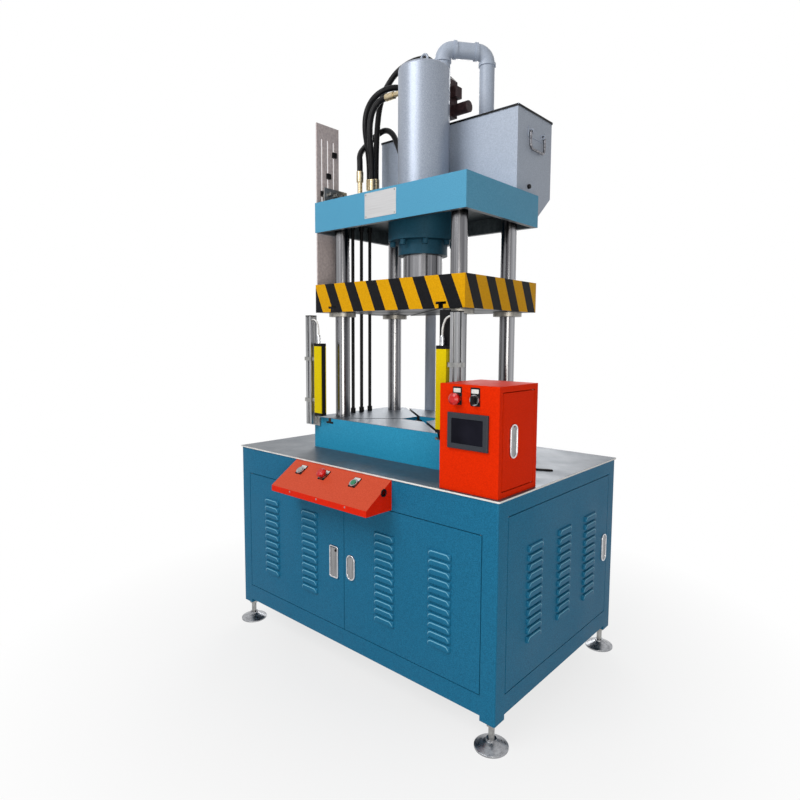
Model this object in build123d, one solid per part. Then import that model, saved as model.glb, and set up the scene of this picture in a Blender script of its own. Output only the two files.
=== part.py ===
from build123d import *
import math
import os

# A four-column hydraulic press on a louvred steel cabinet.
# Millimetres, +Z up, the front faces -Y. Shapes are drawn about the cabinet's middle on the floor,
# and written about the middle of the whole footprint.

# Clearances
OVERRUN = 4
RUNNING_CLEARANCE = 0.05
LOOSE_CLEARANCE = 0.3
DOOR_GAP = 3

# Cabinet
CABINET_WIDTH = 1350
CABINET_DEPTH = 870
POST = 56
POST_WALL = 4
POST_ROUND = 6
POST_BOTTOM = 88
POST_PLATE = 10
RAIL_RAISE = 17
RAIL_DEPTH = 40
RAIL_WALL = 3
TOP_FACE = 800
TOP_PLATE = 6
TOP_OVERHANG = 5
FLOOR_SHEET = 3
FLOOR_INSET = 23

# Doors and panels, folded from sheet
SHEET = 2
DOOR_RETURN = 20
DOOR_BOTTOM = 173
FRONT_DOOR_TOP = 681
SIDE_DOOR_TOP = 738
DOOR_SPLIT = -5
PIVOT_INSET = 6
PIVOT_PIN = 6
PIVOT_REACH = 14

# Louvres, pressed out of the sheet and open underneath
LOUVRE_WIDTH = 93
LOUVRE_HEIGHT = 20
LOUVRE_DEPTH = 8
LOUVRE_END = 8
LOUVRE_LIP = 13
LOUVRE_PITCH = 30.6
LOUVRE_COUNT = 11
FRONT_LOUVRE_TOP = 594
SIDE_LOUVRE_TOP = 616
FRONT_LOUVRE_INNER = 206
FRONT_LOUVRE_OUTER = 455
SIDE_LOUVRE_PITCH = 209

# Flush latches with a swinging paddle
LATCH_RIM = 6
LATCH_FRAME = 4
PADDLE_THICK = 4
PADDLE_CLEARANCE = 0.6
KNUCKLE = 3
KNUCKLE_DROP = 5
SQUARE_LATCH_WIDTH = 47
SQUARE_LATCH_HEIGHT = 125
SQUARE_LATCH_OFFSET = 53
OVAL_LATCH_WIDTH = 44
OVAL_LATCH_HEIGHT = 96
OVAL_LATCH_OFFSET = 41
FRONT_LATCH_HEIGHT = 426
SIDE_LATCH_WIDTH = 40
SIDE_LATCH_HEIGHT = 110
SIDE_LATCH_INSET = 33
SIDE_LATCH_Z = 449
BOX_LATCH_WIDTH = 40
BOX_LATCH_HEIGHT = 105
BOX_LATCH_INSET = 56
BOX_LATCH_Z = 969

# Levelling feet
PAD_DIAMETER = 110
PAD_EDGE = 6
PAD_HEIGHT = 30
PAD_NECK = 34
FOOT_SCREW = 20
FOOT_SCREW_TOP = 30
FOOT_NUT = 30
FOOT_NUT_HEIGHT = 16

# Press axis and the outline shared by crown and slide
AXIS_X = -16
AXIS_Y = 25.5
PRESS_WIDTH = 802
PRESS_DEPTH = 494
COLUMN = 63
COLUMN_SPAN_X = 630
COLUMN_SPAN_Y = 336
COLUMN_NUT = 95
COLUMN_NUT_HEIGHT = 22
NUT_ROOM = 5

# Bed
BED_WIDTH = 806
BED_DEPTH = 510
BED_TOP = 935
BED_PLATE = 40
BED_WALL = 20
BED_HOLE_WIDTH = 128
BED_HOLE_DEPTH = 122

# T-slots along both diagonals of bed and slide
SLOT_NECK = 14
SLOT_HEAD = 31
SLOT_NECK_DEPTH = 15
SLOT_HEAD_DEPTH = 9
SLOT_EXIT_X = 295
SLOT_EXIT_Y = 247

# Slide
SLIDE_BOTTOM = 1389
SLIDE_HEIGHT = 120
BUSH_FLANGE = 116
BUSH_FLANGE_HEIGHT = 18
BUSH_OUTER = 84
RISER_NOTCH = 46
RISER_NOTCH_LENGTH = 160

# Crown
CROWN_BOTTOM = 1731
CROWN_TOP = 1857
CROWN_DECK = 67
CROWN_WALL = 20

# Cylinder
BARREL = 213
BARREL_WALL = 13
BARREL_TOP = 2378
BARREL_CAP = 30
BARREL_ROUND = 14
FLANGE = 290
FLANGE_DROP = 52
FLANGE_LIP = 21
GLAND = 207
GLAND_HEIGHT = 56
ROD = 165
PISTON_HEIGHT = 50
PISTON_TOP_ROOM = 12
FLANGE_BOLT = 24
FLANGE_BOLT_HEIGHT = 20
FLANGE_BOLT_CIRCLE = 252
FLANGE_BOLT_COUNT = 8
EYE_RING = 44
EYE_WIRE = 10
EYE_SHANK = 16
EYE_SHANK_HEIGHT = 24

# Oil tank behind the cylinder, with a sump that slopes down behind the crown
TANK_LEFT = -384
TANK_RIGHT = 352
TANK_FRONT = 158
TANK_BACK = 430
TANK_TOP = 2188
TANK_BACK_BOTTOM = 1875
SUMP_BOTTOM = 1740
SUMP_GAP = 3
TANK_SHEET = 4
LID_THICK = 6
LID_OVERHANG = 3

# Drop handle on the tank's right side
HANDLE_Y = 298
HANDLE_Z = 2110
HANDLE_PLATE_LENGTH = 124
HANDLE_PLATE_HEIGHT = 40
HANDLE_PLATE = 3
HANDLE_STAND = 10
EAR_SPACING = 92
EAR_WIDTH = 8
EAR_HEIGHT = 18
BAIL_WIRE = 10
BAIL_WIDTH = 112
BAIL_DROP = 68
BAIL_ROUND = 20
BAIL_TURN = 6

# Fill pipe from the valve block over to the tank
FILL_PIPE = 66
FILL_WALL = 4
FILL_BEND = 46
FILL_AXIS_Z = 2519
FILL_START_X = -39
FILL_START_Y = 175
FILL_RUN = 199
FILL_HEADING = 39
FILL_COLLAR = 75
FILL_COLLAR_LENGTH = 12
FILL_DIP = 60

# Valve block on the back of the cylinder, with its solenoid
VALVE_LEFT = -122
VALVE_RIGHT = 10
VALVE_FRONT = 112
VALVE_BACK = 219
VALVE_BOTTOM = 2230
VALVE_TOP = 2415
VALVE_CHAMFER = 34
SOLENOID = 48
SOLENOID_LENGTH = 80
SOLENOID_Y = 196
SOLENOID_Z = 2257
PILOT_LENGTH = 24
PILOT_SIZE = 46
PILOT_Z = 2329

# Pipes beside and behind the slide
RISER = 15
RISER_X = -385
RISER_Y = 24
RISER_PITCH = 54
RISER_NUT = 23
RISER_NUT_HEIGHT = 22
SUCTION = 51
SUCTION_WALL = 4
SUCTION_X = -207
SUCTION_GAP = 1.5
SUCTION_TOP = 1830
SUCTION_FLANGE = 66
SUCTION_FLANGE_HEIGHT = 10

# Hydraulic hoses and their brass fittings
HOSE = 26
FITTING_HEX = 36
FITTING_HEX_LENGTH = 22
FITTING_STEM = 22
FERRULE = 31
FERRULE_LENGTH = 46

# Trip plate on the slide's left side, its dogs, and the switch bracket on the crown
TRIP_X = -434
TRIP_THICK = 6
TRIP_FRONT = -195
TRIP_BACK = -69
TRIP_TOP = 2204
TRIP_BOTTOM = 1400
TRIP_SPACER_HEIGHT = 100
TRIP_SLOT = 8
TRIP_SLOT_PITCH = 33.5
TRIP_SLOT_TOP = 2144
TRIP_SLOT_BOTTOM = 1745
DOG_SIZE = 22
DOG_THICK = 10
DOG_HEIGHTS = (1908, 1989, 2086)
BRACKET_SHEET = 4
BRACKET_FOOT = 34
BRACKET_HEIGHT = 66
BRACKET_LENGTH = 130
SWITCH = 18
SWITCH_LENGTH = 52
SWITCH_GAP = 4
SWITCH_Z = 1898

# Light curtains in front of the bed
CURTAIN_SPAN = 393
POST_SIDE = 34
POST_GROOVE = 8
POST_GROOVE_DEPTH = 7
CURTAIN_POST_TOP = 1372
CURTAIN_POST_BOTTOM = 905
CURTAIN_BRACKET = 8
CURTAIN_BRACKET_HEIGHT = 28
CURTAIN_BRACKET_LENGTH = 66
HOUSING_SPAN = 335
HOUSING_WIDTH = 46
HOUSING_DEPTH = 28
HOUSING_BOTTOM = 945
HOUSING_TOP = 1256
HOUSING_CAP = 12
WINDOW_DEPTH = 3
WINDOW_WIDTH = 20
CLAMP_HEIGHT = 16
CLAMP_WALL = 4
CLAMP_HEIGHTS = (1012, 1190)
PLUG = 14
PLUG_HEIGHT = 34
CURTAIN_CABLE = 7
BAR_THICK = 8
BAR_TOP = 1382

# Two-hand console on the cabinet's front
CONSOLE_LEFT = -283
CONSOLE_RIGHT = 240
CONSOLE_BOTTOM = 687
CONSOLE_TOP = 793
CONSOLE_REACH = 123
CONSOLE_LIP = 22
CONSOLE_BUTTON_X = (-204, -70, 97)
CONSOLE_BUTTON_BACK = 43
CONSOLE_HOLE = 22
CONSOLE_HOLE_Z = 755
CONSOLE_HOLE_BACK = 40

# Control buttons for panel holes
PLUNGER = 22
BEZEL = 34
BEZEL_HEIGHT = 7
PLUNGER_DEPTH = 20
BUTTON_STAND = 9
MUSHROOM = 38
MUSHROOM_STAND = 15
MUSHROOM_HEIGHT = 14
KNOB_GRIP = 9
KNOB_LENGTH = 26
KNOB_STAND = 22

# Control box on the cabinet's top
BOX_WIDTH = 224
BOX_DEPTH = 226
BOX_INSET = 9
BOX_HEIGHT = 340
BOX_FRAME = 21
BOX_DOOR_RETURN = 12
BOX_GAP = 2.5
BOX_PIVOT_INSET = 5
BOX_PIVOT_PIN = 4
SCREEN_INSET = 35
SCREEN_BOTTOM = 938
SCREEN_WIDTH = 153
SCREEN_HEIGHT = 113
SCREEN_THICK = 9
SCREEN_FRAME = 17
SCREEN_RECESS = 5
BOX_BUTTON_INSET = 69
BOX_SELECTOR_INSET = 137
BOX_CONTROL_Z = 1095

# Motor and pump inside the cabinet
MOTOR = 230
MOTOR_LENGTH = 340
MOTOR_RIB = 6
MOTOR_X = -60
MOTOR_Y = 120
MOTOR_FOOT_HEIGHT = 14
MOTOR_FOOT_WIDTH = 200
BELL = 190
BELL_LENGTH = 90
PUMP = 110
PUMP_LENGTH = 150

# The footprint's middle, which becomes the origin
FOOT_X = (CABINET_WIDTH - POST) / 2
FOOT_Y = (CABINET_DEPTH - POST) / 2
FRONT_FACE = -CABINET_DEPTH / 2
RIGHT_FACE = CABINET_WIDTH / 2
ORIGIN_Y = (FRONT_FACE - CONSOLE_REACH + FOOT_Y + PAD_DIAMETER / 2) / 2

# Places that several pieces share
RAIL_BOTTOM = POST_BOTTOM + RAIL_RAISE
TOP_UNDER = TOP_FACE - TOP_PLATE
SIDE_RAIL_BOTTOM = SIDE_DOOR_TOP + DOOR_GAP
FRONT_RAIL_BOTTOM = FRONT_DOOR_TOP + DOOR_GAP
LOWER_RAIL_TOP = DOOR_BOTTOM - DOOR_GAP
FRONT_OPENING = CABINET_WIDTH / 2 - POST
SIDE_OPENING = CABINET_DEPTH / 2 - POST
SLIDE_TOP = SLIDE_BOTTOM + SLIDE_HEIGHT
DECK_UNDER = CROWN_TOP - CROWN_DECK
FLANGE_BOTTOM = CROWN_BOTTOM - FLANGE_DROP
PRESS_FRONT = AXIS_Y - PRESS_DEPTH / 2
PRESS_BACK = AXIS_Y + PRESS_DEPTH / 2
PRESS_LEFT = AXIS_X - PRESS_WIDTH / 2
BED_FRONT = AXIS_Y - BED_DEPTH / 2
SUCTION_Y = AXIS_Y + BED_DEPTH / 2 + SUCTION_GAP + SUCTION_FLANGE / 2
BOX_RIGHT = RIGHT_FACE - BOX_INSET
BOX_LEFT = BOX_RIGHT - BOX_WIDTH
BOX_FRONT = FRONT_FACE + BOX_INSET
BOX_BACK = BOX_FRONT + BOX_DEPTH
SCREEN_LEFT = BOX_LEFT + SCREEN_INSET
BOX_BUTTON_X = BOX_LEFT + BOX_BUTTON_INSET
BOX_SELECTOR_X = BOX_LEFT + BOX_SELECTOR_INSET
COLUMN_PLACES = [
    (AXIS_X + sx * COLUMN_SPAN_X / 2, AXIS_Y + sy * COLUMN_SPAN_Y / 2) for sx in (-1, 1) for sy in (-1, 1)
]
FOOT_PLACES = [(sx * FOOT_X, sy * FOOT_Y) for sx in (-1, 1) for sy in (-1, 1)]

# Routes of the hoses, point by point as they run
HOSE_1_ROUTE = [
    (-346, -22, 2018),
    (-346, -22, 2056),
    (-361, -10, 2096),
    (-374, 26, 2134),
    (-377, 74, 2178),
    (-371, 114, 2219),
    (-340, 136, 2240),
    (-290, 130, 2212),
    (-246, 112, 2156),
    (-210, 106, 2084),
    (-176, 106, 2014),
    (-144, 107, 1962),
    (-144, 107, 1920),
]
HOSE_2_ROUTE = [
    (-346, 38, 1995),
    (-346, 38, 2060),
    (-346, 26, 2132),
    (-346, 8, 2210),
    (-344, 14, 2285),
    (-328, 40, 2346),
    (-284, 60, 2376),
    (-244, 92, 2389),
    (-216, 123, 2384),
    (-192, 144, 2374),
    (-168, 152, 2368),
    (-146, 152, 2368),
]
HOSE_3_ROUTE = [
    (-300, 8, 1981),
    (-300, 8, 2046),
    (-300, -2, 2120),
    (-300, -8, 2196),
    (-298, 0, 2252),
    (-290, 12, 2290),
    (-272, 21, 2312),
    (-250, 25.5, 2320),
    (-230, 25.5, 2320),
]
HOSE_4_ROUTE = [
    (-346, 79, 2004),
    (-346, 79, 2078),
    (-347, 83, 2160),
    (-345, 87, 2242),
    (-335, 91, 2326),
    (-315, 99, 2386),
    (-290, 112, 2432),
    (-261, 131, 2474),
    (-212, 153, 2504),
    (-162, 171, 2513),
    (-128, 181, 2506),
    (-107, 186, 2488),
    (-98, 188, 2466),
    (-98, 188, 2446),
]
CURTAIN_CABLE_ROUTE = [
    (0, 0, 0),
    (0, 0, 20),
    (-4, 1, 42),
    (-14, 1, 60),
    (-28, 0, 68),
    (-42, 0, 68),
]


def block(x_range, y_range, z_range):
    """A rectangular block between low and high corners."""
    spans = (x_range, y_range, z_range)
    middle = [(low + high) / 2 for low, high in spans]
    return Pos(*middle) * Box(*[high - low for low, high in spans])


def rod(x, y, z_low, z_high, diameter):
    """An upright round bar."""
    return Pos(x, y, (z_low + z_high) / 2) * Cylinder(diameter / 2, z_high - z_low)


def ring(x, y, z_low, z_high, outer, inner):
    """An upright round ring."""
    body = rod(x, y, z_low, z_high, outer)
    return body - rod(x, y, z_low - OVERRUN, z_high + OVERRUN, inner)


def turned(points):
    """A turned piece from its half section, as radius and height, about its own axis."""
    face = make_face(Plane.XZ * Polyline(*points, close=True))
    return revolve(face, Axis.Z)


def stadium(width, height, thick):
    """An upright plate with round ends, standing on Y = 0 and reaching to -Y."""
    face = Plane.XZ * SlotOverall(height, width, rotation=90)
    return extrude(face, thick)


def write(name, *pieces):
    """Writes one node, about the footprint's middle."""
    solids = [solid for piece in pieces for solid in piece.solids()]
    shape = solids[0] if len(solids) == 1 else Compound(solids)
    export_step(Pos(0, -ORIGIN_Y, 0) * shape, f"parts/{name}.step")


def corner_radii(route):
    """Radii for a route's corners, each as large as its two runs allow."""
    points = [Vector(*point) for point in route]
    bend_share = 0.45
    radii = []
    for before, here, after in zip(points, points[1:], points[2:]):
        turn = math.radians((here - before).get_angle(after - here))
        shorter = min((here - before).length, (after - here).length)
        radii.append(bend_share * shorter / math.tan(turn / 2))
    return radii


def cord(name, route, diameter):
    """A round cord along its route, with a printed list of its bend radii."""
    radii = corner_radii(route)
    path = FilletPolyline(*route, radius=radii)
    start = Plane(origin=path @ 0, z_dir=path % 0)
    print(name, "length", round(path.length), "radii", [round(radius) for radius in radii])
    return sweep(start * Circle(diameter / 2), path)


def on_right_side(shape):
    """Turns a piece drawn for the front so that it faces +X on the right side."""
    return Rot(0, 0, 90) * shape


# Cabinet frame
def cabinet_post(x, y):
    """A square tube with a plate welded in its foot for the levelling screw."""
    half = POST / 2
    inner = half - POST_WALL
    post = block((-half, half), (-half, half), (POST_BOTTOM, TOP_UNDER))
    uprights = post.edges().filter_by(Axis.Z)
    outermost = uprights.sort_by(lambda edge: edge.center().X * x + edge.center().Y * y)[-1]
    post = fillet(outermost, POST_ROUND)
    post -= block((-inner, inner), (-inner, inner), (POST_BOTTOM + POST_PLATE, TOP_UNDER + OVERRUN))
    post -= rod(0, 0, 0, TOP_FACE, FOOT_SCREW + 2 * LOOSE_CLEARANCE)
    return Pos(x, y, 0) * post


def cabinet_rail(length, z_low, z_high):
    """A rectangular tube along X whose outer face lies on Y = 0."""
    wall = RAIL_WALL
    tube = block((-length / 2, length / 2), (0, RAIL_DEPTH), (z_low, z_high))
    bore = (-length / 2 - OVERRUN, length / 2 + OVERRUN)
    return tube - block(bore, (wall, RAIL_DEPTH - wall), (z_low + wall, z_high - wall))


def rail_pair(length, z_top_rail):
    """The lower and the upper rail of one side."""
    return [
        cabinet_rail(length, RAIL_BOTTOM, LOWER_RAIL_TOP),
        cabinet_rail(length, z_top_rail, TOP_UNDER),
    ]


def cabinet():
    """Posts, rails, floor and top plate."""
    front = [Pos(0, FRONT_FACE, 0) * rail for rail in rail_pair(2 * FRONT_OPENING, FRONT_RAIL_BOTTOM)]
    back = rail_pair(2 * FRONT_OPENING, SIDE_RAIL_BOTTOM)
    back = [Rot(0, 0, 180) * Pos(0, FRONT_FACE, 0) * rail for rail in back]
    sides = []
    for rail in rail_pair(2 * SIDE_OPENING, SIDE_RAIL_BOTTOM):
        right = on_right_side(Pos(0, -RIGHT_FACE, 0) * rail)
        sides += [right, Rot(0, 0, 180) * right]
    write("cabinet_posts", *[cabinet_post(x, y) for x, y in FOOT_PLACES])
    write("cabinet_rails", *front, *back, *sides)

    floor_x = CABINET_WIDTH / 2 - FLOOR_INSET
    floor_y = CABINET_DEPTH / 2 - FLOOR_INSET
    floor = block((-floor_x, floor_x), (-floor_y, floor_y), (LOWER_RAIL_TOP, LOWER_RAIL_TOP + FLOOR_SHEET))
    side = POST + 2 * LOOSE_CLEARANCE
    for x, y in FOOT_PLACES:
        floor -= Pos(x, y, LOWER_RAIL_TOP) * Box(side, side, POST)
    write("cabinet_floor", floor)

    top_x = CABINET_WIDTH / 2 + TOP_OVERHANG
    top_y = CABINET_DEPTH / 2 + TOP_OVERHANG
    top = block((-top_x, top_x), (-top_y, top_y), (TOP_UNDER, TOP_FACE))
    write("cabinet_top_plate", fillet(top.edges().filter_by(Axis.Z), TOP_PLATE))


# Louvred doors and panels
def louvre(x, z_top):
    """The hood of one louvre and the hollow inside it, pressed out towards -Y."""
    hood = Wedge(
        LOUVRE_WIDTH,
        LOUVRE_DEPTH,
        LOUVRE_HEIGHT,
        LOUVRE_END,
        LOUVRE_HEIGHT - LOUVRE_LIP,
        LOUVRE_WIDTH - LOUVRE_END,
        LOUVRE_HEIGHT,
        align=(Align.CENTER, Align.MIN, Align.MIN),
    )
    hollow_width = LOUVRE_WIDTH - 2 * SHEET
    hollow = Wedge(
        hollow_width,
        LOUVRE_DEPTH + OVERRUN,
        LOUVRE_HEIGHT,
        LOUVRE_END,
        LOUVRE_HEIGHT - LOUVRE_LIP,
        hollow_width - LOUVRE_END,
        LOUVRE_HEIGHT,
        align=(Align.CENTER, Align.MIN, Align.MIN),
    )
    hood = Pos(x, 0, z_top) * Rot(180, 0, 0) * hood
    hollow = Pos(x, SHEET + OVERRUN, z_top - SHEET) * Rot(180, 0, 0) * hollow
    return hood, hollow


def folded_panel(x_low, x_high, z_low, z_high, depth, columns, louvre_top):
    """A pan of sheet with its edges folded back, its face on Y = 0, with columns of louvres."""
    panel = block((x_low, x_high), (0, depth), (z_low, z_high))
    inside_x = (x_low + SHEET, x_high - SHEET)
    panel -= block(inside_x, (SHEET, depth + OVERRUN), (z_low + SHEET, z_high - SHEET))
    places = [(x, louvre_top - row * LOUVRE_PITCH) for x in columns for row in range(LOUVRE_COUNT)]
    louvres = [louvre(x, z) for x, z in places]
    for hood, hollow in louvres:
        panel += hood
    for hood, hollow in louvres:
        panel -= hollow
    return panel


def pivot_holes(x, inset, pin, z_low, z_high):
    """The bar that bores both folded edges of a door for its pivot pins."""
    return rod(x, inset, z_low - OVERRUN, z_high + OVERRUN, pin + 2 * RUNNING_CLEARANCE)


def latch_frame(shape, width, height):
    """The rim of a flush latch, and the paddle that swings in it on a knuckle, standing on Y = 0."""
    opening_width = width - 2 * LATCH_FRAME
    opening_height = height - 2 * LATCH_FRAME
    rim = shape(width, height, LATCH_RIM)
    rim -= Pos(0, OVERRUN, 0) * shape(opening_width, opening_height, LATCH_RIM + 2 * OVERRUN)
    room = 2 * PADDLE_CLEARANCE
    paddle = shape(opening_width - room, opening_height - room, PADDLE_THICK)
    knuckle_z = opening_height / 2 - KNUCKLE_DROP
    paddle -= block((-width, width), (-PADDLE_THICK - OVERRUN, OVERRUN), (knuckle_z, height))
    knuckle_share = 0.8
    knuckle_length = knuckle_share * paddle.faces().sort_by(Axis.Z)[-1].bounding_box().size.X
    knuckle = Rot(0, 90, 0) * Cylinder(KNUCKLE / 2, knuckle_length)
    paddle += Pos(0, -PADDLE_THICK, knuckle_z) * knuckle
    return rim, Pos(0, -LOOSE_CLEARANCE, 0) * paddle


def square_plate(width, height, thick):
    """An upright square plate standing on Y = 0 and reaching to -Y."""
    return block((-width / 2, width / 2), (-thick, 0), (-height / 2, height / 2))


def pivot_pins(x, y, pin, z_low, z_high, gap):
    """The lower and upper pivot pins of one door, standing on the rails."""
    return [
        rod(x, y, z_low - gap, z_low + PIVOT_REACH, pin),
        rod(x, y, z_high - PIVOT_REACH, z_high + gap, pin),
    ]


def front_doors():
    """Both front doors with their latches, and the pins that they turn on."""
    edge = FRONT_OPENING - DOOR_GAP
    middle = DOOR_GAP / 2
    latches = {
        "left": (square_plate, SQUARE_LATCH_WIDTH, SQUARE_LATCH_HEIGHT, DOOR_SPLIT - SQUARE_LATCH_OFFSET),
        "right": (stadium, OVAL_LATCH_WIDTH, OVAL_LATCH_HEIGHT, DOOR_SPLIT + OVAL_LATCH_OFFSET),
    }
    spans = {"left": (-edge, DOOR_SPLIT - middle), "right": (DOOR_SPLIT + middle, edge)}
    pivots = {"left": -edge + PIVOT_INSET, "right": edge - PIVOT_INSET}
    pins = []
    for hand, sign in (("left", -1), ("right", 1)):
        columns = [sign * FRONT_LOUVRE_INNER, sign * FRONT_LOUVRE_OUTER]
        door = folded_panel(
            *spans[hand], DOOR_BOTTOM, FRONT_DOOR_TOP, DOOR_RETURN, columns, FRONT_LOUVRE_TOP
        )
        door -= pivot_holes(pivots[hand], PIVOT_INSET, PIVOT_PIN, DOOR_BOTTOM, FRONT_DOOR_TOP)
        shape, width, height, x = latches[hand]
        rim, paddle = latch_frame(shape, width, height)
        place = Pos(x, FRONT_FACE, FRONT_LATCH_HEIGHT)
        door = Pos(0, FRONT_FACE, 0) * door + place * rim
        write(f"front_door_{hand}", door)
        write(f"front_latch_{hand}", place * paddle)
        pivot_y = FRONT_FACE + PIVOT_INSET
        pins += pivot_pins(pivots[hand], pivot_y, PIVOT_PIN, DOOR_BOTTOM, FRONT_DOOR_TOP, DOOR_GAP)
    return pins


def side_door():
    """The door in the right side, hinged at its front edge, and its pins."""
    edge = SIDE_OPENING - DOOR_GAP
    columns = [column * SIDE_LOUVRE_PITCH for column in (-1, 0, 1)]
    door = folded_panel(-edge, edge, DOOR_BOTTOM, SIDE_DOOR_TOP, DOOR_RETURN, columns, SIDE_LOUVRE_TOP)
    pivot_x = -edge + PIVOT_INSET
    door -= pivot_holes(pivot_x, PIVOT_INSET, PIVOT_PIN, DOOR_BOTTOM, SIDE_DOOR_TOP)
    rim, paddle = latch_frame(stadium, SIDE_LATCH_WIDTH, SIDE_LATCH_HEIGHT)
    place = Pos(edge - SIDE_LATCH_INSET, 0, SIDE_LATCH_Z)
    side = Pos(RIGHT_FACE, 0, 0) * Rot(0, 0, 90)
    write("side_door", side * (door + place * rim))
    write("side_latch", side * (place * paddle))
    pins = pivot_pins(pivot_x, PIVOT_INSET, PIVOT_PIN, DOOR_BOTTOM, SIDE_DOOR_TOP, DOOR_GAP)
    return [side * pin for pin in pins]


def fixed_panels():
    """The louvred left panel and the plain back panel, fixed in their openings."""
    columns = [column * SIDE_LOUVRE_PITCH for column in (-1, 0, 1)]
    heights = (LOWER_RAIL_TOP, SIDE_RAIL_BOTTOM)
    left = folded_panel(-SIDE_OPENING, SIDE_OPENING, *heights, FLOOR_INSET - SHEET, columns, SIDE_LOUVRE_TOP)
    back = folded_panel(-FRONT_OPENING, FRONT_OPENING, *heights, FLOOR_INSET - SHEET, [], SIDE_LOUVRE_TOP)
    left = Pos(-RIGHT_FACE, 0, 0) * Rot(0, 0, -90) * left
    back = Pos(0, -FRONT_FACE, 0) * Rot(0, 0, 180) * back
    write("cabinet_panels", left, back)


# Levelling feet
def feet():
    """Turned pads, and the screws with their lock nuts."""
    pad = turned(
        [
            (0, 0),
            (PAD_DIAMETER / 2, 0),
            (PAD_DIAMETER / 2, PAD_EDGE),
            (PAD_NECK / 2, PAD_HEIGHT - PAD_EDGE),
            (PAD_NECK / 2, PAD_HEIGHT),
            (0, PAD_HEIGHT),
        ]
    )
    screw = rod(0, 0, PAD_HEIGHT, POST_BOTTOM + FOOT_SCREW_TOP, FOOT_SCREW)
    nut = extrude(RegularPolygon(FOOT_NUT / 2, 6, major_radius=False), FOOT_NUT_HEIGHT)
    nut = Pos(0, 0, POST_BOTTOM - FOOT_NUT_HEIGHT) * nut
    nut -= rod(0, 0, 0, TOP_FACE, FOOT_SCREW + 2 * RUNNING_CLEARANCE)
    write("foot_pads", *[Pos(x, y, 0) * pad for x, y in FOOT_PLACES])
    write("foot_screws", *[Pos(x, y, 0) * piece for x, y in FOOT_PLACES for piece in (screw, nut)])


# Bed, columns and crown
def t_slots():
    """Two crossing T-slots through the press axis, cut downwards from Z = 0."""
    neck = SLOT_NECK / 2
    head = SLOT_HEAD / 2
    depth = SLOT_NECK_DEPTH + SLOT_HEAD_DEPTH
    length = math.hypot(BED_WIDTH, BED_DEPTH)
    section = make_face(
        Plane.YZ
        * Polyline(
            (-neck, OVERRUN),
            (-neck, -SLOT_NECK_DEPTH),
            (-head, -SLOT_NECK_DEPTH),
            (-head, -depth),
            (head, -depth),
            (head, -SLOT_NECK_DEPTH),
            (neck, -SLOT_NECK_DEPTH),
            (neck, OVERRUN),
            close=True,
        )
    )
    slot = extrude(section, length / 2, both=True)
    angle = math.degrees(math.atan2(SLOT_EXIT_Y, SLOT_EXIT_X))
    return [Rot(0, 0, sign * angle) * slot for sign in (-1, 1)]


def bed():
    """The ground top plate with its hole and T-slots, and the welded walls that carry it."""
    plate_under = BED_TOP - BED_PLATE
    hole = Pos(AXIS_X, AXIS_Y, BED_TOP) * Box(BED_HOLE_WIDTH, BED_HOLE_DEPTH, 2 * BED_TOP)
    top = Pos(AXIS_X, AXIS_Y, BED_TOP - BED_PLATE / 2) * Box(BED_WIDTH, BED_DEPTH, BED_PLATE)
    top -= hole
    for x, y in COLUMN_PLACES:
        top -= rod(x, y, plate_under - OVERRUN, BED_TOP + OVERRUN, COLUMN + 2 * LOOSE_CLEARANCE)
    for slot in t_slots():
        top -= Pos(AXIS_X, AXIS_Y, BED_TOP) * slot
    write("bed_top", top)

    heights = (TOP_FACE, plate_under)
    x_low, x_high = AXIS_X - BED_WIDTH / 2, AXIS_X + BED_WIDTH / 2
    y_low, y_high = AXIS_Y - BED_DEPTH / 2, AXIS_Y + BED_DEPTH / 2
    hole_x = BED_HOLE_WIDTH / 2
    hole_y = BED_HOLE_DEPTH / 2
    walls = [
        block((x_low, x_high), (y_low, y_low + BED_WALL), heights),
        block((x_low, x_high), (y_high - BED_WALL, y_high), heights),
        block((x_low, x_low + BED_WALL), (y_low + BED_WALL, y_high - BED_WALL), heights),
        block((x_high - BED_WALL, x_high), (y_low + BED_WALL, y_high - BED_WALL), heights),
    ]
    for sign in (-1, 1):
        outer_y = (y_low + BED_WALL, y_high - BED_WALL)
        side_x = AXIS_X + sign * (hole_x + BED_WALL / 2)
        side = (side_x - BED_WALL / 2, side_x + BED_WALL / 2)
        walls.append(block(side, outer_y, heights))
        cross_y = AXIS_Y + sign * (hole_y + BED_WALL / 2)
        cross = (cross_y - BED_WALL / 2, cross_y + BED_WALL / 2)
        walls.append(block((AXIS_X - hole_x, AXIS_X + hole_x), cross, heights))
    write("bed_walls", *walls)


def columns():
    """The four chromed columns and the round nuts at both ends."""
    top = CROWN_TOP
    bottom = BED_TOP - BED_PLATE - COLUMN_NUT_HEIGHT
    write("columns", *[rod(x, y, bottom, top, COLUMN) for x, y in COLUMN_PLACES])
    nuts = []
    for x, y in COLUMN_PLACES:
        for low in (bottom, top - COLUMN_NUT_HEIGHT):
            bore = COLUMN + 2 * RUNNING_CLEARANCE
            nuts.append(ring(x, y, low, low + COLUMN_NUT_HEIGHT, COLUMN_NUT, bore))
    write("column_nuts", *nuts)


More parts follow.
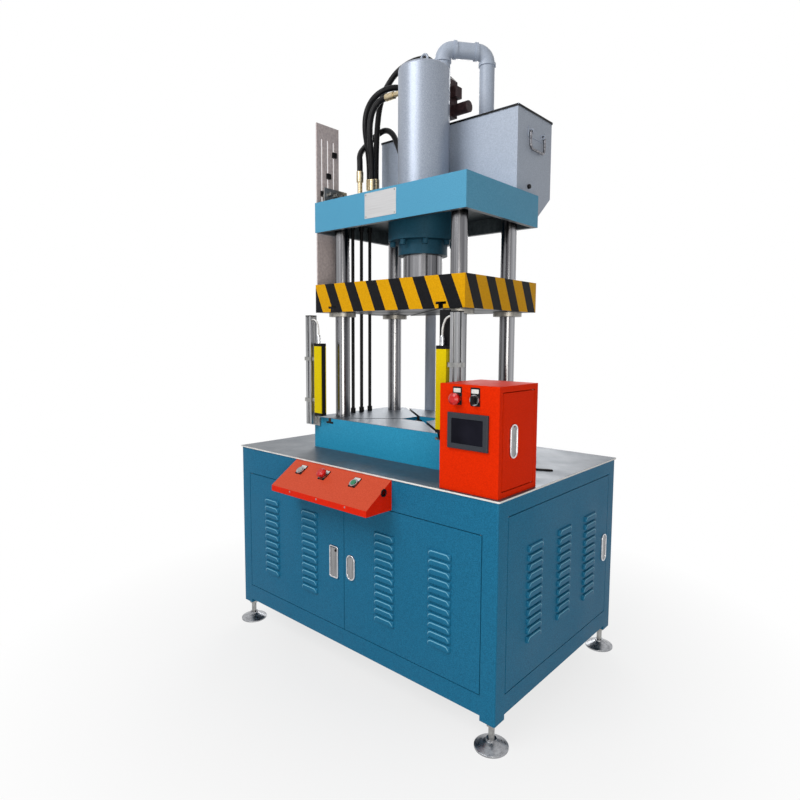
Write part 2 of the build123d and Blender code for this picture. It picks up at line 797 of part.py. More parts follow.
def crown():
    """The thick deck, bored for columns and cylinder, and the walls welded under it."""
    deck_z = (CROWN_TOP + DECK_UNDER) / 2
    deck = Pos(AXIS_X, AXIS_Y, deck_z) * Box(PRESS_WIDTH, PRESS_DEPTH, CROWN_DECK)
    for x, y in COLUMN_PLACES:
        deck -= rod(x, y, DECK_UNDER - OVERRUN, CROWN_TOP + OVERRUN, COLUMN + 2 * LOOSE_CLEARANCE)
        seat = CROWN_TOP - COLUMN_NUT_HEIGHT
        deck -= rod(x, y, seat, CROWN_TOP + OVERRUN, COLUMN_NUT + 2 * NUT_ROOM)
    bore = BARREL + 2 * LOOSE_CLEARANCE
    deck -= rod(AXIS_X, AXIS_Y, DECK_UNDER - OVERRUN, CROWN_TOP + OVERRUN, bore)
    write("crown_deck", deck)

    heights = (CROWN_BOTTOM, DECK_UNDER)
    right = PRESS_LEFT + PRESS_WIDTH
    inner_y = (PRESS_FRONT + CROWN_WALL, PRESS_BACK - CROWN_WALL)
    walls = [
        block((PRESS_LEFT, right), (PRESS_FRONT, inner_y[0]), heights),
        block((PRESS_LEFT, right), (inner_y[1], PRESS_BACK), heights),
        block((PRESS_LEFT, PRESS_LEFT + CROWN_WALL), inner_y, heights),
        block((right - CROWN_WALL, right), inner_y, heights),
    ]
    write("crown_skirt", *walls)


# Cylinder and slide
def cylinder():
    """The barrel with its welded cap and lifting eye, its flange, gland ring and bolts."""
    seat = FLANGE_BOTTOM + FLANGE_LIP
    outer = BARREL / 2
    bore = outer - BARREL_WALL
    eye_z = BARREL_TOP + EYE_SHANK_HEIGHT + EYE_RING / 2 - EYE_WIRE / 2
    barrel = rod(0, 0, seat, BARREL_TOP, BARREL)
    barrel = fillet(barrel.edges().group_by(Axis.Z)[-1], BARREL_ROUND)
    barrel -= rod(0, 0, seat - OVERRUN, BARREL_TOP - BARREL_CAP, 2 * bore)
    eye = rod(0, 0, BARREL_TOP, BARREL_TOP + EYE_SHANK_HEIGHT, EYE_SHANK)
    eye += Pos(0, 0, eye_z) * Rot(90, 0, 0) * Torus((EYE_RING - EYE_WIRE) / 2, EYE_WIRE / 2)
    write("cylinder_barrel", *[Pos(AXIS_X, AXIS_Y, 0) * piece for piece in (barrel, eye)])

    flange = ring(0, 0, FLANGE_BOTTOM, DECK_UNDER, FLANGE, BARREL + 2 * RUNNING_CLEARANCE)
    lip = ring(0, 0, FLANGE_BOTTOM, seat, FLANGE, ROD + 2 * OVERRUN)
    write("cylinder_flange", Pos(AXIS_X, AXIS_Y, 0) * (flange + lip))

    gland_bottom = FLANGE_BOTTOM - GLAND_HEIGHT
    gland = ring(AXIS_X, AXIS_Y, gland_bottom, FLANGE_BOTTOM, GLAND, ROD + 2 * RUNNING_CLEARANCE)
    write("gland_ring", gland)

    bolt = rod(FLANGE_BOLT_CIRCLE / 2, 0, FLANGE_BOTTOM - FLANGE_BOLT_HEIGHT, FLANGE_BOTTOM, FLANGE_BOLT)
    turns = [360 * step / FLANGE_BOLT_COUNT for step in range(FLANGE_BOLT_COUNT)]
    write("flange_bolts", *[Pos(AXIS_X, AXIS_Y, 0) * Rot(0, 0, turn) * bolt for turn in turns])


def slide():
    """The piston rod, the slide block with bushes and T-slots, and the trip plate beside it."""
    piston_top = BARREL_TOP - BARREL_CAP - PISTON_TOP_ROOM
    piston = BARREL - 2 * BARREL_WALL - 2 * RUNNING_CLEARANCE
    shaft = rod(AXIS_X, AXIS_Y, SLIDE_TOP, piston_top, ROD)
    shaft += rod(AXIS_X, AXIS_Y, piston_top - PISTON_HEIGHT, piston_top, piston)
    write("piston_rod", shaft)

    body = Pos(AXIS_X, AXIS_Y, (SLIDE_BOTTOM + SLIDE_TOP) / 2) * Box(PRESS_WIDTH, PRESS_DEPTH, SLIDE_HEIGHT)
    for x, y in COLUMN_PLACES:
        body -= rod(x, y, SLIDE_BOTTOM - OVERRUN, SLIDE_TOP + OVERRUN, BUSH_OUTER)
    for slot in t_slots():
        body -= Pos(AXIS_X, AXIS_Y, SLIDE_BOTTOM) * Rot(180, 0, 0) * slot
    notch_y = (RISER_Y - RISER_NOTCH_LENGTH / 2, RISER_Y + RISER_NOTCH_LENGTH / 2)
    notch_x = (PRESS_LEFT - OVERRUN, PRESS_LEFT + RISER_NOTCH)
    body -= block(notch_x, notch_y, (SLIDE_BOTTOM - OVERRUN, SLIDE_TOP + OVERRUN))
    write("slide_block", body)

    bush_bottom = SLIDE_BOTTOM - BUSH_FLANGE_HEIGHT
    bore = COLUMN + 2 * RUNNING_CLEARANCE
    bushes = []
    for x, y in COLUMN_PLACES:
        flange = ring(x, y, bush_bottom, SLIDE_BOTTOM, BUSH_FLANGE, bore)
        bushes.append(flange + ring(x, y, SLIDE_BOTTOM, SLIDE_TOP, BUSH_OUTER - 2 * RUNNING_CLEARANCE, bore))
    write("guide_bushes", *bushes)


def trip_slots():
    """Where the three slots of the trip plate stand along Y."""
    middle = (TRIP_FRONT + TRIP_BACK) / 2
    return [middle + step * TRIP_SLOT_PITCH for step in (-1, 0, 1)]


def trip_gear():
    """The slotted trip plate and its dogs on the slide, and the switches on the crown."""
    plate_x = (TRIP_X - TRIP_THICK, TRIP_X)
    plate = block(plate_x, (TRIP_FRONT, TRIP_BACK), (TRIP_BOTTOM, TRIP_TOP))
    spacer_z = (TRIP_BOTTOM, TRIP_BOTTOM + TRIP_SPACER_HEIGHT)
    plate += block((TRIP_X, PRESS_LEFT), (TRIP_FRONT, TRIP_BACK), spacer_z)
    slot_length = TRIP_SLOT_TOP - TRIP_SLOT_BOTTOM
    slot_z = (TRIP_SLOT_TOP + TRIP_SLOT_BOTTOM) / 2
    for y in trip_slots():
        outline = Plane.YZ * SlotOverall(slot_length, TRIP_SLOT, rotation=90)
        plate -= Pos(TRIP_X, y, slot_z) * extrude(outline, 2 * TRIP_THICK, both=True)
    write("trip_plate", plate)

    dogs = []
    shank = TRIP_SLOT - 2 * LOOSE_CLEARANCE
    for y, z in zip(trip_slots(), DOG_HEIGHTS):
        head = Pos(TRIP_X + DOG_THICK / 2, y, z) * Box(DOG_THICK, DOG_SIZE, DOG_SIZE)
        dogs.append(head + Pos(TRIP_X - TRIP_THICK / 2, y, z) * Box(TRIP_THICK, shank, DOG_SIZE))
    write("trip_dogs", *dogs)

    middle_y = (TRIP_FRONT + TRIP_BACK) / 2
    span_y = (middle_y - BRACKET_LENGTH / 2, middle_y + BRACKET_LENGTH / 2)
    section = Polyline(
        (PRESS_LEFT, CROWN_TOP),
        (PRESS_LEFT + BRACKET_FOOT, CROWN_TOP),
        (PRESS_LEFT + BRACKET_FOOT, CROWN_TOP + BRACKET_HEIGHT),
        (PRESS_LEFT + BRACKET_FOOT - BRACKET_SHEET, CROWN_TOP + BRACKET_HEIGHT),
        (PRESS_LEFT + BRACKET_FOOT - BRACKET_SHEET, CROWN_TOP + BRACKET_SHEET),
        (PRESS_LEFT, CROWN_TOP + BRACKET_SHEET),
        close=True,
    )
    angle = extrude(make_face(Plane.XZ * section), BRACKET_LENGTH)
    angle = Pos(0, span_y[1], 0) * angle
    switches = []
    tip = TRIP_X + DOG_THICK + SWITCH_GAP
    for y in trip_slots():
        place = Pos(tip + SWITCH_LENGTH / 2, y, SWITCH_Z) * Rot(0, 90, 0)
        angle -= place * Cylinder(SWITCH / 2 + RUNNING_CLEARANCE, SWITCH_LENGTH)
        switches.append(place * Cylinder(SWITCH / 2, SWITCH_LENGTH))
    write("switch_bracket", angle, *switches)


# Oil tank, fill pipe, valve block and pipes
def tank():
    """The folded tank with its sloping sump, its lid, and the drop handle on its right side."""
    sump_front = PRESS_BACK + SUMP_GAP
    length = TANK_RIGHT - TANK_LEFT
    outline = Polyline(
        (TANK_FRONT, CROWN_TOP),
        (TANK_FRONT, TANK_TOP),
        (TANK_BACK, TANK_TOP),
        (TANK_BACK, TANK_BACK_BOTTOM),
        (sump_front, SUMP_BOTTOM),
        (sump_front, CROWN_TOP),
        close=True,
    )
    outer = make_face(outline)
    inner = offset(outer, -TANK_SHEET, kind=Kind.INTERSECTION)
    body = extrude(Plane.YZ * outer, length)
    hollow = Pos(TANK_SHEET, 0, 0) * extrude(Plane.YZ * inner, length - 2 * TANK_SHEET)
    mouth_x = (TANK_SHEET, length - TANK_SHEET)
    mouth_y = (TANK_FRONT + TANK_SHEET, TANK_BACK - TANK_SHEET)
    mouth = block(mouth_x, mouth_y, (TANK_TOP - 2 * TANK_SHEET, TANK_TOP + OVERRUN))
    body = Pos(TANK_LEFT, 0, 0) * (body - hollow - mouth)
    body -= rod(SUCTION_X, SUCTION_Y, SUMP_BOTTOM, SUCTION_TOP + OVERRUN, SUCTION + 2 * LOOSE_CLEARANCE)

    axis_x = TANK_RIGHT + HANDLE_STAND
    plate_y = (HANDLE_Y - HANDLE_PLATE_LENGTH / 2, HANDLE_Y + HANDLE_PLATE_LENGTH / 2)
    plate_z = (HANDLE_Z - HANDLE_PLATE_HEIGHT / 2, HANDLE_Z + HANDLE_PLATE_HEIGHT / 2)
    body += block((TANK_RIGHT, TANK_RIGHT + HANDLE_PLATE), plate_y, plate_z)
    for sign in (-1, 1):
        ear_y = HANDLE_Y + sign * EAR_SPACING / 2
        ear = Pos(axis_x, ear_y, HANDLE_Z) * Rot(90, 0, 0) * Cylinder(EAR_HEIGHT / 2, EAR_WIDTH)
        root_z = (HANDLE_Z - EAR_HEIGHT / 2, HANDLE_Z + EAR_HEIGHT / 2)
        ear += block((TANK_RIGHT, axis_x), (ear_y - EAR_WIDTH / 2, ear_y + EAR_WIDTH / 2), root_z)
        hole = BAIL_WIRE / 2 + RUNNING_CLEARANCE
        ear -= Pos(axis_x, ear_y, HANDLE_Z) * Rot(90, 0, 0) * Cylinder(hole, EAR_WIDTH + OVERRUN)
        body += ear
    write("oil_tank", body)

    end = (EAR_SPACING - EAR_WIDTH) / 2
    side = BAIL_WIDTH / 2
    path = FilletPolyline(
        (0, -end, 0),
        (0, -side, 0),
        (0, -side, -BAIL_DROP),
        (0, side, -BAIL_DROP),
        (0, side, 0),
        (0, end, 0),
        radius=[BAIL_TURN, BAIL_ROUND, BAIL_ROUND, BAIL_TURN],
    )
    bail = sweep(Plane(origin=path @ 0, z_dir=path % 0) * Circle(BAIL_WIRE / 2), path)
    write("tank_handle", Pos(axis_x, HANDLE_Y, HANDLE_Z) * bail)

    over = LID_OVERHANG
    lid_x = (TANK_LEFT - over, TANK_RIGHT + over)
    lid_y = (TANK_FRONT - over, TANK_BACK + over)
    lid = block(lid_x, lid_y, (TANK_TOP, TANK_TOP + LID_THICK))
    end_x, end_y = fill_end()
    lid -= rod(end_x, end_y, TANK_TOP - OVERRUN, TANK_TOP + 2 * LID_THICK, FILL_PIPE + 2 * LOOSE_CLEARANCE)
    write("tank_lid", lid)


def fill_end():
    """Where the fill pipe drops into the tank."""
    heading = math.radians(FILL_HEADING)
    return FILL_START_X + FILL_RUN * math.sin(heading), FILL_START_Y + FILL_RUN * math.cos(heading)


def fill_pipe():
    """The pipe of two welded elbows from the valve block over to the tank, with its collars."""
    end_x, end_y = fill_end()
    route = [
        (FILL_START_X, FILL_START_Y, VALVE_TOP),
        (FILL_START_X, FILL_START_Y, FILL_AXIS_Z),
        (end_x, end_y, FILL_AXIS_Z),
        (end_x, end_y, TANK_TOP - FILL_DIP),
    ]
    path = FilletPolyline(*route, radius=FILL_BEND)
    section = Plane(origin=path @ 0, z_dir=path % 0) * Circle(FILL_PIPE / 2)
    bore = Plane(origin=path @ 0, z_dir=path % 0) * Circle(FILL_PIPE / 2 - FILL_WALL)
    collar = Cylinder(FILL_COLLAR / 2, FILL_COLLAR_LENGTH)
    low = FILL_AXIS_Z - FILL_BEND - FILL_COLLAR_LENGTH / 2
    pipe = sweep(section, path)
    for x, y in ((FILL_START_X, FILL_START_Y), (end_x, end_y)):
        pipe += Pos(x, y, low) * collar
    along = Vector(end_x - FILL_START_X, end_y - FILL_START_Y, 0).normalized()
    for distance in (FILL_BEND + FILL_COLLAR_LENGTH / 2, FILL_RUN - FILL_BEND - FILL_COLLAR_LENGTH / 2):
        centre = Vector(FILL_START_X, FILL_START_Y, FILL_AXIS_Z) + along * distance
        pipe += Plane(origin=centre, z_dir=along) * collar
    write("fill_pipe", pipe - sweep(bore, path))


def valve_block():
    """The valve block saddled on the back of the barrel, with its pilot and solenoid."""
    body = block((VALVE_LEFT, VALVE_RIGHT), (VALVE_FRONT, VALVE_BACK), (VALVE_BOTTOM, VALVE_TOP))
    edge = body.edges().filter_by(Axis.Y).sort_by(lambda e: e.center().X + e.center().Z)[-1]
    body = chamfer(edge, VALVE_CHAMFER)
    body -= rod(AXIS_X, AXIS_Y, VALVE_BOTTOM - OVERRUN, VALVE_TOP + OVERRUN, BARREL + 2 * LOOSE_CLEARANCE)
    pilot_x = (VALVE_RIGHT, VALVE_RIGHT + PILOT_LENGTH)
    pilot_y = (SOLENOID_Y - PILOT_SIZE / 2, SOLENOID_Y + PILOT_SIZE / 2)
    pilot = block(pilot_x, pilot_y, (PILOT_Z - PILOT_SIZE / 2, PILOT_Z + PILOT_SIZE / 2))
    coil = Pos(VALVE_RIGHT + SOLENOID_LENGTH / 2, SOLENOID_Y, SOLENOID_Z) * Rot(0, 90, 0)
    coil = coil * Cylinder(SOLENOID / 2, SOLENOID_LENGTH)
    write("valve_block", body, pilot, coil)


def upright_pipes():
    """The three thin risers with their nuts, and the suction pipe behind the bed."""
    pieces = []
    for step in (-1, 0, 1):
        y = RISER_Y + step * RISER_PITCH
        pieces.append(rod(RISER_X, y, BED_TOP, DECK_UNDER, RISER))
        for low, high in (
            (BED_TOP, BED_TOP + RISER_NUT_HEIGHT),
            (DECK_UNDER - RISER_NUT_HEIGHT, DECK_UNDER),
        ):
            pieces.append(ring(RISER_X, y, low, high, RISER_NUT, RISER + 2 * RUNNING_CLEARANCE))
    write("riser_pipes", *pieces)

    pipe = rod(SUCTION_X, SUCTION_Y, TOP_FACE, SUCTION_TOP, SUCTION)
    pipe += rod(SUCTION_X, SUCTION_Y, TOP_FACE, TOP_FACE + SUCTION_FLANGE_HEIGHT, SUCTION_FLANGE)
    bore = SUCTION - 2 * SUCTION_WALL
    pipe -= rod(SUCTION_X, SUCTION_Y, TOP_FACE - OVERRUN, SUCTION_TOP + OVERRUN, bore)
    write("suction_pipe", pipe)


def fitting(length):
    """A turned hose fitting of this length, standing on Z = 0, with its ferrule at the top."""
    stem_top = length - FERRULE_LENGTH
    return turned(
        [
            (0, 0),
            (FITTING_HEX / 2, 0),
            (FITTING_HEX / 2, FITTING_HEX_LENGTH),
            (FITTING_STEM / 2, FITTING_HEX_LENGTH),
            (FITTING_STEM / 2, stem_top),
            (FERRULE / 2, stem_top),
            (FERRULE / 2, length),
            (0, length),
        ]
    )


def short_fitting(length):
    """A plain swivel fitting of this length, standing on Z = 0."""
    return turned(
        [
            (0, 0),
            (FITTING_HEX / 2, 0),
            (FITTING_HEX / 2, FITTING_HEX_LENGTH),
            (FERRULE / 2, FITTING_HEX_LENGTH),
            (FERRULE / 2, length),
            (0, length),
        ]
    )


def hoses():
    """Four hoses from the crown to the cylinder and its valve block, with their fittings."""
    routes = (HOSE_1_ROUTE, HOSE_2_ROUTE, HOSE_3_ROUTE, HOSE_4_ROUTE)
    fittings = []
    for number, route in enumerate(routes, 1):
        write(f"hose_{number}", cord(f"hose_{number}", route, HOSE))
        x, y, z = route[0]
        fittings.append(Pos(x, y, CROWN_TOP) * fitting(z - CROWN_TOP))
    x, y, z = HOSE_1_ROUTE[-1]
    fittings.append(Pos(x, y, CROWN_TOP) * short_fitting(z - CROWN_TOP))
    x, y, z = HOSE_2_ROUTE[-1]
    fittings.append(Pos(VALVE_LEFT, y, z) * Rot(0, -90, 0) * short_fitting(VALVE_LEFT - x))
    x, y, z = HOSE_3_ROUTE[-1]
    port = AXIS_X - BARREL / 2 - LOOSE_CLEARANCE
    fittings.append(Pos(port, y, z) * Rot(0, -90, 0) * fitting(port - x))
    x, y, z = HOSE_4_ROUTE[-1]
    fittings.append(Pos(x, y, VALVE_TOP) * short_fitting(z - VALVE_TOP))
    write("hose_fittings", *fittings)


# Light curtains
def light_curtains():
    """Both posts with brackets and clamps, the housings with caps and windows, and the cables."""
    post_y = BED_FRONT - CURTAIN_BRACKET - POST_SIDE / 2
    posts, brackets, housings, dark, cables = [], [], [], [], []
    for sign in (-1, 1):
        post_x = AXIS_X + sign * CURTAIN_SPAN
        house_x = AXIS_X + sign * HOUSING_SPAN
        post_height = CURTAIN_POST_TOP - CURTAIN_POST_BOTTOM
        profile = Rectangle(POST_SIDE, POST_SIDE)
        for turn in (0, 90, 180, 270):
            groove = Pos(POST_SIDE / 2, 0) * Rectangle(2 * POST_GROOVE_DEPTH, POST_GROOVE)
            profile -= Rot(0, 0, turn) * groove
        post = extrude(profile, post_height)
        posts.append(Pos(post_x, post_y, CURTAIN_POST_BOTTOM) * post)

        bracket_x = (post_x - CURTAIN_BRACKET_LENGTH / 2, post_x + CURTAIN_BRACKET_LENGTH / 2)
        bracket_z = (CURTAIN_POST_BOTTOM - CURTAIN_BRACKET, CURTAIN_POST_BOTTOM + CURTAIN_BRACKET_HEIGHT)
        brackets.append(block(bracket_x, (BED_FRONT - CURTAIN_BRACKET, BED_FRONT), bracket_z))
        outer = POST_SIDE + 2 * CLAMP_WALL
        tab_x = sorted((post_x + sign * -POST_SIDE / 2, house_x + sign * HOUSING_WIDTH / 2))
        for z in CLAMP_HEIGHTS:
            clamp = Pos(post_x, post_y, z) * Box(outer, outer, CLAMP_HEIGHT)
            tab_y = (post_y - POST_SIDE / 4, post_y + POST_SIDE / 4)
            clamp += block(tab_x, tab_y, (z - CLAMP_HEIGHT / 2, z + CLAMP_HEIGHT / 2))
            clamp -= Pos(post_x, post_y, z) * Box(POST_SIDE, POST_SIDE, 2 * CLAMP_HEIGHT)
            brackets.append(clamp)

        cap_low = (HOUSING_BOTTOM, HOUSING_BOTTOM + HOUSING_CAP)
        cap_high = (HOUSING_TOP - HOUSING_CAP, HOUSING_TOP)
        house_x_range = (house_x - HOUSING_WIDTH / 2, house_x + HOUSING_WIDTH / 2)
        house_y_range = (post_y - HOUSING_DEPTH / 2, post_y + HOUSING_DEPTH / 2)
        window_face = house_x - sign * HOUSING_WIDTH / 2
        window_x = sorted((window_face, window_face + sign * WINDOW_DEPTH))
        window_y = (post_y - WINDOW_WIDTH / 2, post_y + WINDOW_WIDTH / 2)
        window = block(window_x, window_y, (cap_low[1], cap_high[0]))
        housings.append(block(house_x_range, house_y_range, (cap_low[1], cap_high[0])) - window)
        dark += [block(house_x_range, house_y_range, cap) for cap in (cap_low, cap_high)]
        dark.append(window)
        plug_y = post_y - HOUSING_DEPTH / 2 + PLUG / 2
        dark.append(rod(house_x, plug_y, HOUSING_TOP, HOUSING_TOP + PLUG_HEIGHT, PLUG))

        start = Vector(house_x, plug_y, HOUSING_TOP + PLUG_HEIGHT)
        route = [start + Vector(-sign * x, y, z) for x, y, z in CURTAIN_CABLE_ROUTE]
        route = [tuple(point) for point in route]
        route[-1] = (post_x - sign * POST_SIDE / 2, route[-1][1], route[-1][2])
        cables.append(cord("curtain_cable", route, CURTAIN_CABLE))

    bar_y = post_y + HOUSING_DEPTH / 2
    bar = block(house_x_range, (bar_y - BAR_THICK, bar_y), (HOUSING_TOP, BAR_TOP))
    write("curtain_posts", *posts)
    write("curtain_brackets", *brackets)
    write("curtain_housings", *housings)
    write("curtain_caps", *dark, bar)
    write("curtain_cables", *cables)


# Controls
def plunger(stand):
    """The round body of a button, down through its panel hole and up to its stand."""
    height = PLUNGER_DEPTH + stand
    return Pos(0, 0, stand - height / 2) * Cylinder(PLUNGER / 2, height)


def bezel():
    """The chromed ring round a button, on the panel."""
    return ring(0, 0, 0, BEZEL_HEIGHT, BEZEL, PLUNGER + 2 * LOOSE_CLEARANCE)


def panel_hole():
    """The bar that cuts a button's hole through the panel."""
    return Cylinder(PLUNGER / 2 + LOOSE_CLEARANCE, 4 * SHEET)


def mushroom():
    """A domed emergency button."""
    radius = MUSHROOM / 2
    dome_share = 0.55
    head = turned(
        [
            (0, MUSHROOM_STAND),
            (radius, MUSHROOM_STAND),
            (radius, MUSHROOM_STAND + MUSHROOM_HEIGHT * dome_share),
            (radius * dome_share, MUSHROOM_STAND + MUSHROOM_HEIGHT),
            (0, MUSHROOM_STAND + MUSHROOM_HEIGHT),
        ]
    )
    return plunger(MUSHROOM_STAND) + head


def selector():
    """A turning knob with a bar grip."""
    grip_height = KNOB_STAND - BUTTON_STAND
    grip = Pos(0, 0, BUTTON_STAND + grip_height / 2) * Box(KNOB_GRIP, KNOB_LENGTH, grip_height)
    return plunger(BUTTON_STAND) + grip


def console():
    """The sloping two-hand console, and the planes of its three buttons."""
    back = FRONT_FACE
    front = FRONT_FACE - CONSOLE_REACH
    lip = CONSOLE_BOTTOM + CONSOLE_LIP
    outline = Polyline(
        (back, CONSOLE_BOTTOM),
        (back, CONSOLE_TOP),
        (front, lip),
        (front, CONSOLE_BOTTOM),
        close=True,
    )
    width = CONSOLE_RIGHT - CONSOLE_LEFT
    outer = make_face(outline)
    inner = offset(outer, -SHEET, kind=Kind.INTERSECTION)
    body = extrude(Plane.YZ * outer, width)
    body -= Pos(SHEET, 0, 0) * extrude(Plane.YZ * inner, width - 2 * SHEET)
    body = Pos(CONSOLE_LEFT, 0, 0) * body
    cable_hole = Pos(CONSOLE_RIGHT, FRONT_FACE - CONSOLE_HOLE_BACK, CONSOLE_HOLE_Z) * Rot(0, 90, 0)
    body -= cable_hole * Cylinder(CONSOLE_HOLE / 2, 4 * SHEET)

    slope = Vector(0, lip - CONSOLE_TOP, CONSOLE_REACH).normalized()
    button_y = back - CONSOLE_BUTTON_BACK
    button_z = CONSOLE_TOP - (CONSOLE_TOP - lip) * CONSOLE_BUTTON_BACK / CONSOLE_REACH
    planes = []
    for x in CONSOLE_BUTTON_X:
        planes.append(Plane(origin=(x, button_y, button_z), x_dir=(1, 0, 0), z_dir=slope))
    for plane in planes:
        body -= plane * panel_hole()
    write("console_body", body)
    return planes


def control_box():
    """The folded box with its door, its screen, and the planes of its two controls."""
    top = TOP_FACE + BOX_HEIGHT
    body = block((BOX_LEFT, BOX_RIGHT), (BOX_FRONT, BOX_BACK), (TOP_FACE, top))
    body -= block(
        (BOX_LEFT + SHEET, BOX_RIGHT - SHEET),
        (BOX_FRONT + SHEET, BOX_BACK - SHEET),
        (TOP_FACE + SHEET, top - SHEET),
    )
    door_y = (BOX_FRONT + BOX_FRAME, BOX_BACK - BOX_FRAME)
    door_z = (TOP_FACE + BOX_FRAME, top - BOX_FRAME)
    opening_y = (door_y[0] - BOX_GAP, door_y[1] + BOX_GAP)
    opening_z = (door_z[0] - BOX_GAP, door_z[1] + BOX_GAP)
    body -= block((BOX_RIGHT - 2 * SHEET, BOX_RIGHT + OVERRUN), opening_y, opening_z)
    pivot_y = door_y[1] - BOX_PIVOT_INSET
    lugs = []
    for z_low, z_high in ((TOP_FACE, opening_z[0]), (opening_z[1], top)):
        lug_x = (BOX_RIGHT - BOX_DOOR_RETURN, BOX_RIGHT)
        lugs.append(block(lug_x, (pivot_y - BOX_PIVOT_INSET, BOX_BACK), (z_low, z_high)))
    body = body + lugs

    planes = []
    for x in (BOX_BUTTON_X, BOX_SELECTOR_X):
        planes.append(Plane(origin=(x, BOX_FRONT, BOX_CONTROL_Z), x_dir=(1, 0, 0), z_dir=(0, -1, 0)))
    for plane in planes:
        body -= plane * panel_hole()
    write("control_box", body)

    door = folded_panel(door_y[0], door_y[1], *door_z, BOX_DOOR_RETURN, [], top)
    door -= pivot_holes(pivot_y, BOX_PIVOT_INSET, BOX_PIVOT_PIN, *door_z)
    rim, paddle = latch_frame(stadium, BOX_LATCH_WIDTH, BOX_LATCH_HEIGHT)
    place = Pos(door_y[0] + BOX_LATCH_INSET, 0, BOX_LATCH_Z)
    side = Pos(BOX_RIGHT, 0, 0) * Rot(0, 0, 90)
    write("box_door", side * (door + place * rim))
    write("box_latch", side * (place * paddle))
    pins = pivot_pins(pivot_y, BOX_PIVOT_INSET, BOX_PIVOT_PIN, *door_z, BOX_GAP)
    pins = [side * pin for pin in pins]

    screen_x = (SCREEN_LEFT, SCREEN_LEFT + SCREEN_WIDTH)
    screen_z = (SCREEN_BOTTOM, SCREEN_BOTTOM + SCREEN_HEIGHT)
    glass_x = (screen_x[0] + SCREEN_FRAME, screen_x[1] - SCREEN_FRAME)
    glass_z = (screen_z[0] + SCREEN_FRAME, screen_z[1] - SCREEN_FRAME)
    glass_front = BOX_FRONT - SCREEN_THICK + SCREEN_RECESS / 2
    frame = block(screen_x, (BOX_FRONT - SCREEN_THICK, BOX_FRONT), screen_z)
    frame = chamfer(frame.faces().sort_by(Axis.Y)[0].edges(), SCREEN_RECESS / 2)
    recess_back = BOX_FRONT - SCREEN_THICK + SCREEN_RECESS
    frame -= block(glass_x, (BOX_FRONT - 2 * SCREEN_THICK, recess_back), glass_z)
    write("screen_frame", frame)
    write("screen_glass", block(glass_x, (glass_front, recess_back), glass_z))
    return planes, pins


def controls(console_planes, box_planes):
    """All buttons and the selector, and the rings round them."""
    left, middle, right = console_planes
    red, turning = box_planes
    write("console_button_left", left * plunger(BUTTON_STAND))
    write("console_button_right", right * plunger(BUTTON_STAND))
    write("console_stop", middle * mushroom())
    write("box_button", red * mushroom())
    write("box_selector", turning * selector())
    write("control_bezels", *[plane * bezel() for plane in (*console_planes, *box_planes)])


# Motor and pump
def motor_pump():
    """The motor on its foot with the bell housing and pump in line, on the cabinet floor."""
    floor = LOWER_RAIL_TOP + FLOOR_SHEET
    axis_z = floor + MOTOR_FOOT_HEIGHT + MOTOR / 2
    start = MOTOR_X - MOTOR_LENGTH / 2
    along = Pos(start, MOTOR_Y, axis_z) * Rot(0, 90, 0)
    motor = along * Pos(0, 0, MOTOR_LENGTH / 2) * Cylinder(MOTOR / 2, MOTOR_LENGTH)
    foot_y = (MOTOR_Y - MOTOR_FOOT_WIDTH / 2, MOTOR_Y + MOTOR_FOOT_WIDTH / 2)
    foot_x = (start + MOTOR_RIB, start + MOTOR_LENGTH - MOTOR_RIB)
    motor += block(foot_x, foot_y, (floor, axis_z - MOTOR / 4))
    bell = along * Pos(0, 0, MOTOR_LENGTH + BELL_LENGTH / 2) * Cylinder(BELL / 2, BELL_LENGTH)
    pump = along * Pos(0, 0, MOTOR_LENGTH + BELL_LENGTH + PUMP_LENGTH / 2) * Cylinder(PUMP / 2, PUMP_LENGTH)
    write("motor_pump", motor, bell, pump)


os.makedirs("parts", exist_ok=True)
cabinet()
door_pins = front_doors() + side_door()
fixed_panels()
feet()
bed()
columns()
crown()
cylinder()
slide()
trip_gear()
tank()
fill_pipe()
valve_block()
upright_pipes()
hoses()
light_curtains()
console_buttons = console()
box_buttons, box_pins = control_box()
controls(console_buttons, box_buttons)
write("hinge_pins", *door_pins, *box_pins)
motor_pump()
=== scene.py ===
import math

import bmesh
import bpy
import numpy as np
from mathutils import Matrix, Vector


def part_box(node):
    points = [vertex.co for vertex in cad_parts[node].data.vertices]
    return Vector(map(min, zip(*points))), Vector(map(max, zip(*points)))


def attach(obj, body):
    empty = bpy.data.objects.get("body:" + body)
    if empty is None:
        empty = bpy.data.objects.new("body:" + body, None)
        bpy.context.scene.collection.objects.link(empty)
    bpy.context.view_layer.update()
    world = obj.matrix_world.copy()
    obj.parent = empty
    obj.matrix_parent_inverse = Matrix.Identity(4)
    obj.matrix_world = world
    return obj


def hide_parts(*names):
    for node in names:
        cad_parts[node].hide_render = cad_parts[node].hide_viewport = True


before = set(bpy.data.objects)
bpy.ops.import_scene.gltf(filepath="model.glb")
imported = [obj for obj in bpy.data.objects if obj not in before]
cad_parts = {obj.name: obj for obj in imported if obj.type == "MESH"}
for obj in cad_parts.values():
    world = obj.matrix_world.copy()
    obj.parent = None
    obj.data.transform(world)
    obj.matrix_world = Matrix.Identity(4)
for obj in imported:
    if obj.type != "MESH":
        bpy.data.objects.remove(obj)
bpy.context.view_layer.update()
scene = bpy.context.scene
scene.view_settings.view_transform = "Standard"


